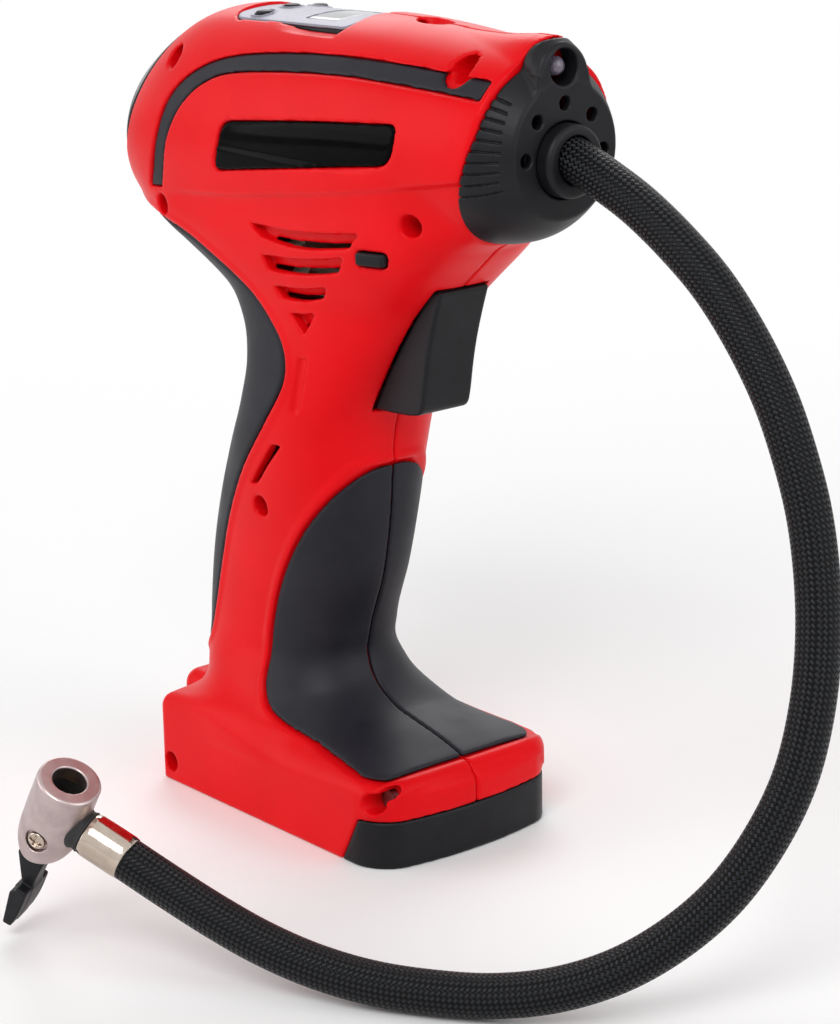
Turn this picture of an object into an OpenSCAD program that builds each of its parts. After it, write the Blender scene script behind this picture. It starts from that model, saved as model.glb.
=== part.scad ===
// Cordless handheld tyre inflator with a braided air hose and a lever chuck.
// +X points out of the nose, +Z up, +Y to the left. The base stands on z = 0.

/* [Housing] */
// Wall of the red housing halves
wall = 2.4; // [2:0.1:2.6]
// Half of the gap between the two housing halves
parting = 0.05; // [0.05:0.01:0.1]
// Height of the crown above the table
crown_top = 215.5; // [215:0.1:216]

/* [Nose] */
// Height of the centre of the nose disc
nose_z = 188; // [187.5:0.1:188.5]
// Front plane of the nose disc
nose_front = 78.8; // [78.5:0.1:79]
// Radius of the nose disc
disc_r = 16.4; // [16:0.1:17]
// Radius of the air holes in the nose disc
air_hole_r = 1.7; // [1.2:0.05:1.8]
// Radius of the circle that the air holes lie on
air_ring_r = 11.7; // [11.4:0.1:11.9]
// Height of the lamp's axis
lamp_z = 208; // [207.8:0.1:208.2]

/* [Base] */
// Half width of the base
base_half_w = 31; // [30.5:0.1:31]
// Height of the parting line between the base cover and the housing, at the front
cover_top = 13; // [12.5:0.1:13.5]
// Diameter of one battery cell
cell_d = 18.3; // [18:0.1:18.4]
// Length of one battery cell
cell_l = 65; // [64.5:0.1:65.5]

/* [Trigger] */
// Half width of the trigger
trigger_half_w = 8.2; // [7.8:0.1:8.6]
// Travel of the trigger into the handle
trigger_travel = 6; // [5:0.5:6]
// Travel of the cross lock button
lock_travel = 3; // [2:0.5:3]

/* [Compressor] */
// Height of the motor shaft
motor_z = 182; // [182:0.1:182]
// Gear module
gear_module = 0.8; // [0.8:0.1:0.8]
// Teeth of the motor pinion
pinion_teeth = 12; // [12:1:12]
// Teeth of the crank gear
crank_teeth = 48; // [48:1:48]
// Radius of the crank pin's circle, half the stroke
crank_throw = 3.5; // [3:0.1:3.5]
// Radius of the cylinder bore
cylinder_r = 9.1; // [9:0.05:9.2]

/* [Hose] */
// Outside diameter of the braided hose
hose_d = 10.5; // [10:0.1:10.6]
// Sides of the hose tube
hose_sides = 10; // [8:1:12]

/* [Chuck] */
// Outside diameter of the chuck body
chuck_d = 15.8; // [15.4:0.1:16]
// Length of the chuck body
chuck_l = 23; // [22:0.5:24]
// Radius of the valve bore
valve_bore_r = 4.2; // [4.1:0.05:4.3]
// Width of the chuck lever in the body's slot
lever_w = 6.4; // [6:0.1:6.6]

/* [Hidden] */
ring_points = 36;

// Sections of the barrel: x, top z, bottom z, half width
barrel_sections = [
    [-83.5, 175, 167, 4],
    [-81, 183, 161, 10.5],
    [-75, 194, 155.5, 18],
    [-64.5, 203, 152, 24],
    [-47, 212, 151.5, 28],
    [-22, crown_top - 0.5, 153.5, 29.5],
    [3, crown_top, 156, 29.5],
    [28, crown_top - 0.5, 159.5, 28],
    [48, crown_top - 2, 162, 26],
    [66, crown_top - 4, 164, 23.5],
    [81, crown_top - 7, 168, 20]
];
barrel_power = 2 / 2.1;

// Sections of the handle: z, rear x, front x, half width
handle_sections = [
    [26, -54, 12, 27],
    [36, -56.5, 3, 23],
    [43, -57.2, 0, 20.5],
    [50.5, -57.2, 1.4, 19.9],
    [67.5, -55, 7.6, 19.9],
    [84.5, -49, 11, 21.2],
    [99.5, -41.5, 12.6, 22.8],
    [112, -35, 15, 23.8],
    [124, -32.7, 21.7, 23.5],
    [134, -35, 28.5, 23.5],
    [143, -42, 35.6, 24],
    [152, -57, 44, 25],
    [160, -72, 53.3, 26],
    [166, -76, 60, 26.5],
    [172, -74, 61, 27.4],
    [179, -68, 60, 28.2]
];
handle_power = 2 / 2.4;

// Slanted seams: a point on the seam and its lean from the vertical, in degrees
nose_seam = [68.9, nose_z];
nose_lean = 22.8;
cap_seam = [-70, 186];
cap_lean = 31;

crank_z = motor_z - gear_module * (pinion_teeth + crank_teeth) / 2;
gear_x = -5;
gear_w = 6;
rod_x = 14;
rod_l = 24;
cylinder_low = 179;
cylinder_high = 199;
motor_r = 14.4;
motor_back = -56;
motor_front = -8;
cover_floor = 2.2;
cell_z = cover_floor + 0.4 + cell_d / 2;
lock_x = 29.4;
lock_z = 156.4;
lock_l = 8.6;
lock_h = 4.6;
button_x = -25;
button_pitch = 9.1;
window_x = -7.4;
window_l = 12.6;
window_w = 18.4;
panel_top = 214.3;

// Housing screws: x, z and the depth of the skin from the middle plane
screw_places = [
    [-46.7, 200.7, 22.4], [-51.8, 161.6, 24.5], [46.5, 168.5, 18.3],
    [-18, 84.5, 21], [-50.5, 5.5, 31], [36.6, 18, 29]
];
post_r = 3.3;
well_depth = 7;

// The hose from the outlet fitting to the ferrule, laid by hand
hose_route = [
    [77, 0, 187.8], [84, 0, 185.8], [92, 0.8, 182.5], [102, 2, 177.5], [113, 3, 170.5],
    [124, 3.8, 162], [134, 4.2, 151.5], [143, 4, 140], [150, 3.2, 128.5], [156.5, 1.8, 115.5],
    [161.5, -0.5, 101.5], [165, -3.5, 87.5], [167, -7.5, 73], [167, -12.5, 58.5],
    [164.5, -19, 45], [160, -27, 32.5], [153.5, -36, 22.5], [145, -45.5, 14.5],
    [134.5, -55, 9], [123, -64, 6.2], [111, -72.5, 5.6], [98.5, -80.5, 6.2], [86, -87.5, 8.4],
    [74, -93.5, 12], [62.5, -98.5, 16.5], [51, -103.2, 21.6], [41, -108, 27]
];

// The chuck: centre of its valve face and its turn about X, Y and Z
chuck_place = [31, -116.5, 46.5];
chuck_turn = [13, 28, 30];
chuck_hose_z = -11.5;
chuck_pin_z = -15.8;
lever_gap = 0.25;

// Outlines of the trims on the barrel's side, in x and z
badge_outline = [
    [-22.5, 175], [-24, 176.5], [-18.5, 187.5], [-16, 188.8], [14.5, 191.4], [45.5, 193.4],
    [47.2, 192], [45.6, 184.5], [43.5, 183], [13.5, 179.5]
];
band_outline = [
    [-57.5, 166], [-52.8, 174], [-48.9, 182], [-44.4, 190.3], [-38.9, 196], [-31.5, 200.2],
    [-24, 202.8], [-12.8, 204.8], [6.4, 206.5], [24.5, 207.1], [57.5, 206.4], [61, 201.9],
    [45, 202.6], [28, 202.9], [10, 202.3], [-9.3, 200.8], [-21.3, 199.2], [-27, 197.2],
    [-32.8, 194], [-38.7, 188.5], [-43.7, 181.5], [-47.2, 174.4], [-51, 166.5]
];

// Outlines of the soft grips, in x and z
front_grip_outline = [
    [30, 98.8], [12.1, 98.6], [10, 96.1], [3.7, 88.9], [-6.3, 76.6], [-14.2, 62.6], [-17.9, 49.3],
    [-18.4, 40], [-16.5, 33.5], [-10, 29.3], [9, 24.9], [24, 23.6], [33, 22.9], [60, 22.4],
    [60, 60]
];
rear_grip_outline = [
    [-80, 160], [-52, 158.5], [-40, 155], [-28, 150.4], [-15.8, 144.5], [-6.9, 136.9], [-1.9, 129],
    [-3.2, 120], [-12.6, 107.8], [-25.9, 92.8], [-35.4, 77], [-40, 64], [-43.7, 51.5],
    [-46.5, 42], [-51, 37.5], [-80, 37.5]
];

housing_red = "#c8191f";
grip_black = "#26262a";
cover_black = "#1d1d20";
nickel = "#b9b5b0";

// ---------- helpers ----------
function powered(v, p) = sign(v) * pow(abs(v), p);

function barrel_ring(s, grow) = [
    for (i = [0:ring_points - 1])
        let (a = 360 * i / ring_points, half_h = (s[1] - s[2]) / 2)
        [
            s[0],
            (s[3] + grow) * powered(cos(a), barrel_power),
            s[2] + half_h + (half_h + grow) * powered(sin(a), barrel_power)
        ]
];

function handle_ring(s, grow) = [
    for (i = [0:ring_points - 1])
        let (a = 360 * i / ring_points, half_l = (s[2] - s[1]) / 2)
        [
            s[1] + half_l + (half_l + grow) * powered(cos(a), handle_power),
            (s[3] + grow) * powered(sin(a), handle_power),
            s[0]
        ]
];

// Closed skin through rings that all have the same number of points
module loft(rings) {
    n = len(rings[0]);
    last = len(rings) - 1;
    polyhedron(
        points = [for (r = rings) each r],
        faces = concat(
            [[for (i = [0:n - 1]) i]],
            [
                for (k = [0:last - 1], i = [0:n - 1])
                    let (a = k * n + i, b = k * n + (i + 1) % n)
                    each [[a, a + n, b], [b, a + n, b + n]]
            ],
            [[for (i = [n - 1:-1:0]) last * n + i]]
        )
    );
}

// Tube of radius r along a path, its rings square to the run of the path
module sweep(path, r, sides) {
    last = len(path) - 1;
    loft([
        for (k = [0:last])
            let (
                ahead = path[min(k + 1, last)] - path[max(k - 1, 0)],
                t = ahead / norm(ahead),
                side = cross([0, 0, 1], t),
                u = side / norm(side),
                v = cross(t, u)
            )
            [for (i = [0:sides - 1]) path[k] + r * (cos(360 * i / sides) * u + sin(360 * i / sides) * v)]
    ]);
}

// Cylinder along X, from x0 to x1
module bar_x(x0, x1, y, z, r, sides = 48) {
    translate([x0, y, z]) rotate([0, 90, 0]) cylinder(r = r, h = x1 - x0, $fn = sides);
}

// Cylinder along Y, from y0 to y1
module bar_y(y0, y1, x, z, r, sides = 32) {
    translate([x, y0, z]) rotate([-90, 0, 0]) cylinder(r = r, h = y1 - y0, $fn = sides);
}

// Flat outline in x and z, raised along Y from y0 to y1
module plate_y(points, y0, y1) {
    translate([0, y1, 0]) rotate([90, 0, 0]) linear_extrude(y1 - y0) polygon(points);
}

// Everything in front of a slanted seam that crosses the X axis
module front_of(seam, lean, gap = 0) {
    translate([seam[0] + gap, 0, seam[1]]) rotate([0, lean, 0])
        translate([0, -60, -120]) cube([200, 120, 240]);
}

module barrel(grow = 0, first = 0) {
    loft([for (k = [first:len(barrel_sections) - 1]) barrel_ring(barrel_sections[k], grow)]);
}

module handle(grow = 0) {
    loft([for (s = handle_sections) handle_ring(s, grow)]);
}

// Outline of the base, drawn in by an amount
module base_plan(inset) {
    hull() {
        for (s = [-1, 1]) {
            translate([-51.4 + inset, s * (base_half_w - 2.6 - inset)]) circle(r = 2.6, $fn = 24);
            translate([32.4 - inset, s * (base_half_w - 9 - inset)]) circle(r = 9, $fn = 32);
        }
        translate([-37 + inset, 0]) circle(r = 20, $fn = 64);
        translate([22 - inset, 0]) circle(r = 22, $fn = 64);
    }
}

module base(inset = 0, lift = 0) {
    hull() {
        translate([0, 0, lift]) linear_extrude(16.5 - lift) base_plan(inset);
        linear_extrude(21 - inset / 2) base_plan(inset + 1);
        linear_extrude(25 - inset) scale([0.86, 0.9]) base_plan(inset + 1);
        linear_extrude(29 - inset) translate([-14, 0]) scale([0.68, 0.66]) base_plan(inset);
    }
}

// Rounded boss of the charging socket behind the base
module rear_boss(inset = 0) {
    hull() {
        for (s = [-1, 1], z = [9, 19])
            translate([-60, s * 9, z]) sphere(r = 6.5 - inset, $fn = 32);
        for (s = [-1, 1], z = [9, 19])
            translate([-50, s * 9, z]) sphere(r = 6.5 - inset, $fn = 16);
    }
}

// Side view of the base cover's front block
module cover_block(gap) {
    plate_y([
        [24.8 + gap, -1], [28.8 + gap, 6], [32.2 + gap, cover_top - gap],
        [60, cover_top - gap], [60, -1]
    ], -40, 40);
}

module trigger_outline(grow) {
    offset(delta = grow) polygon([
        [38, 149.8], [41.9, 149.1], [39.6, 142.5], [37.2, 134.5], [35.6, 127], [34.6, 121], [33.4, 117.2],
        [31.6, 115.6], [20, 114.8], [14.8, 114.8], [18.2, 121.4], [26.9, 134.6], [29.6, 138]
    ]);
}

// ---------- housing ----------
module lamp_hood(r) {
    bar_x(50, 78.2, 0, 207.1, r, 40);
}

module housing_skin() {
    barrel();
    handle();
    base();
    rear_boss();
    lamp_hood(7.9);
}

module housing_hollow() {
    barrel(-wall, 1);
    handle(-wall);
    base(wall, -1);
    rear_boss(wall);
    lamp_hood(5.6);
}

// Air vents in each side: x from and to at the top, x from and to at the bottom, top z, bottom z
vent_slots = [
    [-11.6, 31, -6.5, 28.5, 164, 160.4],
    [-7.1, 25, -5.2, 22, 157, 152.8],
    [-3.7, 16.8, -2, 14.4, 148, 145],
    [0.9, 10.2, 3.4, 7.9, 141, 138]
];

module housing_cuts() {
    difference() {
        front_of(nose_seam, nose_lean);
        lamp_hood(8);
    }
    bar_x(76.5, 90, 0, 207.1, 7.15);
    difference() {
        translate([-150, -60, 120]) cube([110, 120, 130]);
        front_of(cap_seam, cap_lean);
    }
    cover_block(-0.1);
    translate([0, 0, 208]) linear_extrude(20) display_outline(-0.1);
    // the trigger slides back into its opening
    translate([0, trigger_half_w + 0.5, 0]) rotate([90, 0, 0]) linear_extrude(2 * trigger_half_w + 1)
        for (step = [0:6:24]) translate([-step, 0]) trigger_outline(0.5);
    translate([lock_x - 0.4, -40, lock_z - 0.4]) cube([lock_l + 0.8, 80, lock_h + 0.8]);
    for (v = vent_slots)
        plate_y([[v[0], v[4]], [v[1], v[4]], [v[3], v[5]], [v[2], v[5]]], -40, 40);
    bar_x(-80, -50, 0, 14, 5.2);
}

// Screw posts of one half, each ending in the wall
module screw_posts(side) {
    for (p = screw_places)
        bar_y(side < 0 ? 1.5 - p[2] : parting, side < 0 ? -parting : p[2] - 1.5, p[0], p[1], post_r);
}

// Bores along the posts, and the wells for the screw heads in the right half
module screw_bores(side) {
    for (p = screw_places) {
        bar_y(side < 0 ? 1 - p[2] : -1, side < 0 ? 1 : p[2] - 5, p[0], p[1], side < 0 ? 1.6 : 1.3);
        if (side < 0) bar_y(-40, well_depth - p[2], p[0], p[1], 2.7);
    }
    if (side < 0) bar_y(-40, well_depth - 29, 39, 20.6, 1.6);
}

module housing_half(side) {
    difference() {
        union() {
            difference() {
                housing_skin();
                housing_hollow();
                housing_cuts();
                translate([-150, side < 0 ? -parting : parting - 100, -10]) cube([300, 100, 300]);
            }
            screw_posts(side);
        }
        screw_bores(side);
    }
}

module right_housing() {
    color(housing_red) housing_half(-1);
}

module left_housing() {
    color(housing_red) housing_half(1);
}

module rear_cap() {
    color("#141416")
        difference() {
            barrel(0, 0);
            barrel(-wall, 1);
            front_of(cap_seam, cap_lean, -0.6);
        }
}

// ---------- nose ----------
module nose_cone(grow) {
    translate([0, 0, nose_z]) rotate([0, 90, 0]) rotate_extrude($fn = 96) polygon([
        [0, 50], [23.6 + grow, 50], [23.6 + grow, 64], [23.1 + grow, 67.5], [21.2 + grow, 72],
        [18.9 + grow, 76 + grow / 2], [disc_r + grow, nose_front + grow], [0, nose_front + grow]
    ]);
}

module nose_cap() {
    color(grip_black)
        difference() {
            union() {
                intersection() {
                    union() {
                        nose_cone(0);
                        bar_x(60, nose_front, 0, 207.1, 7);
                        translate([60, -8, 196]) cube([nose_front - 60, 16, 9]);
                    }
                    front_of(nose_seam, nose_lean, 0.3);
                }
                bar_x(76.7, nose_front, 0, 207.1, 7);
            }
            nose_cone(-2.2);
            bar_x(50, nose_front - 2, 0, 207.1, 5);
            bar_x(50, 90, 0, lamp_z, 4.15);
            bar_x(50, 90, 0, nose_z - 1.4, 9.6);
            for (a = [-90:45:90])
                bar_x(70, 90, air_ring_r * sin(a), nose_z - 0.6 + air_ring_r * cos(a), air_hole_r, 24);
        }
}

module hose_collar() {
    color(cover_black)
        translate([0, 0, nose_z - 1.4]) rotate([0, 90, 0]) rotate_extrude($fn = 64) polygon([
            [6.8, 73], [11, 73], [11, 76.5], [9.5, 76.5], [9.5, 82], [8.6, 83.5], [7.4, 83.5], [6.8, 82.6]
        ]);
}

module outlet_fitting() {
    color("#b08d3c") {
        bar_x(64, 70, 0, 187.8, 5.5, 6);
        bar_x(70, 77, 0, 187.8, 3);
    }
}

module lamp_led() {
    color("#dfe3ea") {
        bar_x(69, 70, 0, lamp_z, 2.9, 32);
        bar_x(70, 75, 0, lamp_z, 2.5, 32);
        translate([75, 0, lamp_z]) sphere(r = 2.5, $fn = 32);
    }
}

module lamp_board() {
    color("#1f5a33") translate([67, -3.8, 204]) cube([1.6, 7.6, 6.4]);
}

// ---------- display ----------
module display_outline(inset) {
    offset(r = -inset) offset(r = 2) polygon([
        [-32.6, -8], [-28.8, -11.3], [11.2, -11.3], [11.2, 11.3], [-28.8, 11.3], [-32.6, 8]
    ]);
}

module window_block(grow, z, h) {
    translate([window_x - grow, -window_w / 2 - grow, z])
        cube([window_l + 2 * grow, window_w + 2 * grow, h]);
}

module display_bezel() {
    color(cover_black)
        difference() {
            translate([0, 0, 209.3]) linear_extrude(4) display_outline(0.1);
            translate([0, 0, 209]) linear_extrude(2.8) display_outline(0.8);
            window_block(0.2, 211, 3);
            for (s = [-1:1])
                translate([button_x, s * button_pitch, 205]) cylinder(r = 2.6, h = 12, $fn = 32);
        }
}

module display_panel() {
    color("#c3c6cf")
        difference() {
            translate([0, 0, 213.32]) linear_extrude(panel_top - 213.32) display_outline(0);
            window_block(0.1, 213, 3);
            for (s = [-1:1])
                translate([button_x, s * button_pitch, 205]) cylinder(r = 2.6, h = 12, $fn = 32);
        }
}

module display_glass() {
    color("#aeb8c2") window_block(0, 212.9, panel_top - 212.9 - 0.1);
}

module panel_button(side) {
    color(cover_black)
        translate([button_x, side * button_pitch, 0]) rotate_extrude($fn = 32) polygon([
            [0, 210.4], [3.1, 210.4], [3.1, 210.9], [2.3, 210.9], [2.3, 214.7], [1.8, 215.1], [0, 215.2]
        ]);
}

module button_minus() { panel_button(-1); }
module button_mode() { panel_button(0); }
module button_plus() { panel_button(1); }

module display_board() {
    color("#1f5a33") {
        translate([-31, -10.5, 206.4]) cube([42, 21, 1.4]);
        for (s = [-1:1])
            translate([button_x, s * button_pitch, 207.7]) cylinder(r = 1.3, h = 1.6, $fn = 24);
        window_block(-1.2, 207.7, 3);
    }
}

// ---------- trims ----------
module on_barrel(outline, thick) {
    intersection() {
        difference() {
            barrel(thick);
            barrel(0.05);
        }
        for (s = [-1, 1]) plate_y(outline, s < 0 ? -40 : 10, s < 0 ? -10 : 40);
    }
}

module badge_plates() {
    color("#0b0b0c") on_barrel(badge_outline, 0.6);
}

module side_bands() {
    color(grip_black) on_barrel(band_outline, 0.5);
}

module grip_skin(thick) {
    difference() {
        union() {
            handle(thick);
            base(-thick);
        }
        handle(0.05);
        base(-0.05);
    }
}

module front_grip(side) {
    color(grip_black)
        intersection() {
            grip_skin(0.8);
            plate_y(front_grip_outline, side < 0 ? -40 : 0.1, side < 0 ? -0.1 : 40);
        }
}

module front_grip_right() { front_grip(-1); }
module front_grip_left() { front_grip(1); }

module rear_grip() {
    color(grip_black)
        intersection() {
            difference() {
                handle(0.8);
                handle(0.05);
                barrel(0.05);
            }
            plate_y(rear_grip_outline, -40, 40);
        }
}

module housing_screws() {
    color("#6d6f72")
        for (p = screw_places) {
            bar_y(well_depth - p[2] + 0.05, well_depth - p[2] + 1.5, p[0], p[1], 1.55, 24);
            bar_y(well_depth - p[2] - 2, well_depth - p[2] - 0.05, p[0], p[1], 2.5, 24);
            bar_y(well_depth - p[2] - 0.1, 9, p[0], p[1], 1.25, 24);
        }
}

// ---------- base ----------
module foot_cover() {
    color(cover_black)
        difference() {
            union() {
                intersection() {
                    difference() {
                        linear_extrude(16) base_plan(0);
                        translate([0, 0, cover_floor]) linear_extrude(16) base_plan(wall);
                    }
                    cover_block(0.1);
                }
                linear_extrude(cover_floor) base_plan(wall + 0.15);
            }
            bar_y(-40, 40, -50.5, 5.5, post_r + 0.3);
        }
}

module battery_cells() {
    color("#2f6fb3")
        for (s = [-1:1]) bar_x(-45, cell_l - 45, s * (cell_d + 0.5), cell_z, cell_d / 2);
}

module battery_board() {
    color("#1f5a33") translate([23, -20, 5]) cube([1.6, 40, 10]);
}

module charge_socket() {
    color("#1a1a1c")
        difference() {
            union() {
                bar_x(-66.3, -53, 0, 14, 5);
                bar_x(-60, -58.5, 0, 14, 6.4);
            }
            bar_x(-70, -57, 0, 14, 2.9);
        }
}

module socket_plug() {
    color("#242427") {
        bar_x(-67.8, -66.4, 0, 14, 4.4);
        bar_x(-66.5, -59, 0, 14, 2.8);
    }
}

// ---------- trigger ----------
module trigger() {
    color(cover_black)
        difference() {
            union() {
                translate([0, trigger_half_w, 0]) rotate([90, 0, 0])
                    linear_extrude(2 * trigger_half_w) trigger_outline(0);
                translate([19, -5, 126]) cube([14, 10, 9]);
            }
            bar_x(10, 24, 0, 130.5, 3.8);
        }
}

module trigger_spring() {
    color("#8f9194")
        for (k = [0:7])
            translate([6.7 + 2.4 * k, 0, 130.5]) rotate([0, 90, 0])
                rotate_extrude($fn = 32) translate([3, 0]) circle(r = 0.5, $fn = 13);
}

module trigger_switch() {
    color("#2b2b2e") {
        translate([2, -7, 124]) cube([4, 14, 25]);
        translate([5.9, -7, 138]) cube([17.1, 14, 11]);
        translate([22.9, -2, 143.5]) cube([4.1, 4, 4]);
    }
}

module lock_button() {
    color(cover_black) translate([lock_x, -23, lock_z]) cube([lock_l, 46, lock_h]);
}

// ---------- motor ----------
module motor_can() {
    color("#9a9ca0")
        difference() {
            bar_x(motor_back, motor_front, 0, motor_z, motor_r, 72);
            bar_x(motor_back - 1, motor_front - 1.5, 0, motor_z, motor_r - 1.3, 72);
            bar_x(motor_front - 3, motor_front + 1, 0, motor_z, 1.65);
        }
}

module motor_endcap() {
    color("#e2ded2")
        difference() {
            bar_x(motor_back, motor_back + 3, 0, motor_z, motor_r - 1.35, 72);
            bar_x(motor_back - 1, motor_back + 4, 0, motor_z, 1.65);
        }
}

module motor_magnets() {
    color("#3a3a3d")
        intersection() {
            difference() {
                bar_x(-48, -14, 0, motor_z, motor_r - 1.4, 72);
                bar_x(-49, -13, 0, motor_z, 9.9, 72);
            }
            for (s = [-1, 1]) translate([-50, s > 0 ? 3 : -20, motor_z - 20]) cube([40, 17, 40]);
        }
}

module rotor() {
    color("#b27c46") {
        bar_x(-70, 1.5, 0, motor_z, 1.6);
        bar_x(-46, -16, 0, motor_z, 9.4, 48);
        bar_x(-52, -47, 0, motor_z, 4.5, 48);
    }
}

module cooling_fan() {
    color("#3b3f45")
        difference() {
            union() {
                bar_x(-69, -63, 0, motor_z, 4);
                bar_x(-64, -63, 0, motor_z, 12.3);
                for (k = [0:6])
                    translate([-69, 0, motor_z]) rotate([360 * k / 7, 0, 0])
                        translate([0, -0.5, 3]) cube([5.5, 1, 9]);
            }
            bar_x(-72, -60, 0, motor_z, 1.6);
        }
}

// Spur gear along X with straight-sided teeth
module spur_gear(teeth, width, turn) {
    pitch_r = gear_module * teeth / 2;
    half = 360 / teeth / 4;
    rotate([0, 90, 0]) linear_extrude(width) polygon([
        for (k = [0:teeth - 1], c = [[-1.3, -1.2], [-0.42, 0.95], [0.42, 0.95], [1.3, -1.2]])
            let (a = turn + 360 * k / teeth + c[0] * half, r = pitch_r + c[1] * gear_module)
            [r * cos(a), r * sin(a)]
    ]);
}

module pinion() {
    color("#c2a24d")
        difference() {
            translate([gear_x, 0, motor_z]) spur_gear(pinion_teeth, gear_w, 0);
            bar_x(gear_x - 1, gear_x + gear_w + 1, 0, motor_z, 1.6);
        }
}

module crank_gear() {
    color("#d8d2c0")
        difference() {
            translate([gear_x, 0, crank_z]) spur_gear(crank_teeth, gear_w, 180 / crank_teeth);
            bar_x(gear_x - 1, gear_x + gear_w + 1, 0, crank_z, 2.05);
            bar_x(gear_x - 1, gear_x + gear_w + 1, 0, crank_z - crank_throw - 2, 1.5);
        }
}

module crank_pin() {
    low = crank_z - crank_throw;
    color("#a8aaad") {
        bar_x(gear_x, gear_x + gear_w + 0.6, 0, low - 2, 1.5);
        bar_x(gear_x + gear_w + 0.05, gear_x + gear_w + 1.2, 0, low, 4);
        bar_x(gear_x + gear_w + 1, 11, 0, low, 2.6);
        bar_x(10.5, 17.5, 0, low, 1.6);
    }
}

module gear_axle() {
    color("#a8aaad") bar_x(motor_front + 0.4, gear_x + gear_w - 0.5, 0, crank_z, 2);
}

module compressor_frame() {
    color("#8d9196")
        difference() {
            union() {
                translate([motor_front + 0.1, -13, 150]) cube([2.4, 26, 46]);
                for (s = [-1, 1])
                    translate([motor_front + 0.1, s > 0 ? 9 : -12, 186]) cube([22, 3, 10]);
                translate([rod_x, 0, cylinder_low])
                    cylinder(r = 11.3, h = cylinder_high - cylinder_low, $fn = 64);
            }
            translate([rod_x, 0, cylinder_low - 1]) cylinder(r = cylinder_r, h = 30, $fn = 64);
            bar_x(motor_front - 1, gear_x + 0.5, 0, motor_z, 3);
            bar_x(motor_front - 1, gear_x, 0, crank_z, 2);
        }
}

module connecting_rod() {
    low = crank_z - crank_throw;
    color("#3d4148")
        difference() {
            union() {
                bar_x(11.6, 16.4, 0, low, 4);
                bar_x(11.6, 16.4, 0, low + rod_l, 3.2);
                translate([12.4, -2, low + 2]) cube([3.2, 4, rod_l - 3]);
            }
            bar_x(10, 18, 0, low, 1.65);
            bar_x(10, 18, 0, low + rod_l, 1.5);
        }
}

module piston() {
    color("#c9c9c4")
        translate([rod_x, 0, 0]) rotate_extrude($fn = 64) polygon([
            [0, 189.2], [7.5, 189.2], [7.5, 181], [8.9, 181], [8.9, 188.4], [8.2, 188.4],
            [8.2, 190], [8.9, 190], [8.9, 191.2], [0, 191.2]
        ]);
}

module piston_seal() {
    color("#1d1d20")
        translate([rod_x, 0, 0]) rotate_extrude($fn = 64)
            polygon([[8.25, 188.5], [9.05, 188.5], [9.05, 189.9], [8.25, 189.9]]);
}

module cylinder_head() {
    color("#8d9196")
        difference() {
            union() {
                translate([rod_x, 0, cylinder_high + 0.05]) cylinder(r = 11.3, h = 4.6, $fn = 64);
                bar_x(rod_x + 8, 30, 0, cylinder_high + 2.4, 2.2);
            }
            translate([rod_x, 0, cylinder_high]) cylinder(r = 6, h = 2.6, $fn = 48);
            bar_x(rod_x + 5, 31, 0, cylinder_high + 2.4, 1.1, 24);
        }
}

module air_tube() {
    color("#d7d3c8")
        difference() {
            sweep([
                [26.5, 0, cylinder_high + 2.4], [34, 0, cylinder_high + 2.4], [41, 0, 200], [48, 0, 196],
                [55, 0, 191], [60, 0, 188.4], [64, 0, 187.8]
            ], 3, 12);
            bar_x(26, 30.05, 0, cylinder_high + 2.4, 2.25);
        }
}

module wire_loom() {
    color("#a02525")
        sweep([
            [-30, 6, 22], [-38, 6, 45], [-38, 6, 65], [-33, 6, 85], [-24, 6, 103], [-14, 6, 117],
            [-6, 6, 125], [-1, 6, 129], [2, 6, 130]
        ], 1.4, 8);
}

// ---------- hose and chuck ----------
module hose() {
    color("#18181a") sweep(hose_route, hose_d / 2, hose_sides);
}

module at_chuck() {
    translate(chuck_place) rotate(chuck_turn) children();
}

module hose_ferrule() {
    color(nickel)
        at_chuck() translate([0, 0, chuck_hose_z]) rotate([0, 90, 0]) rotate_extrude($fn = 64) polygon([
            [1.5, 8.9], [5, 8.9], [5.55, 9.6], [5.55, 20], [5.2, 20.5], [1.5, 20.5]
        ]);
}

module hose_neck() {
    color(cover_black)
        at_chuck()
            difference() {
                bar_x(4, 8.9, 0, chuck_hose_z, 5.7);
                bar_x(3, 10, 0, chuck_hose_z, 1.5);
                translate([0, 0, -30]) cylinder(r = chuck_d / 2 + 0.02, h = 40, $fn = 64);
            }
}

module chuck_body() {
    color(nickel)
        at_chuck()
            difference() {
                intersection() {
                    rotate_extrude($fn = 72) polygon([
                        [0, -chuck_l], [chuck_d / 2, -chuck_l], [chuck_d / 2, -1.4],
                        [chuck_d / 2 - 0.8, 0], [0, 0]
                    ]);
                    plate_y([
                        [-8, 1], [8, 1], [8, -17.5], [5.2, 0.6 - chuck_l], [2, -chuck_l - 1],
                        [-2, -chuck_l - 1], [-5.2, 0.6 - chuck_l], [-8, -17.5]
                    ], -10, 10);
                }
                translate([0, 0, -4]) cylinder(r = valve_bore_r, h = 5, $fn = 64);
                translate([0, 0, -13]) cylinder(r = 5.2, h = 9, $fn = 64);
                translate([-10, -lever_w / 2 - lever_gap, -30]) cube([14.6, lever_w + 2 * lever_gap, 17.8]);
                bar_x(3, 9, 0, chuck_hose_z, 1.5);
                bar_y(-10, 10, 0, chuck_pin_z, 1.5);
            }
}

module chuck_seal() {
    color("#1b1b1d")
        at_chuck() translate([0, 0, -8.9]) difference() {
            cylinder(r = 5.15, h = 4.8, $fn = 64);
            translate([0, 0, -1]) cylinder(r = valve_bore_r + 0.3, h = 8, $fn = 64);
        }
}

module chuck_core_pin() {
    color("#b08d3c")
        at_chuck() {
            translate([0, 0, -11.9]) cylinder(r = 5.15, h = 2.4, $fn = 64);
            translate([0, 0, -9.6]) cylinder(r = 0.9, h = 4, $fn = 24);
        }
}

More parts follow.
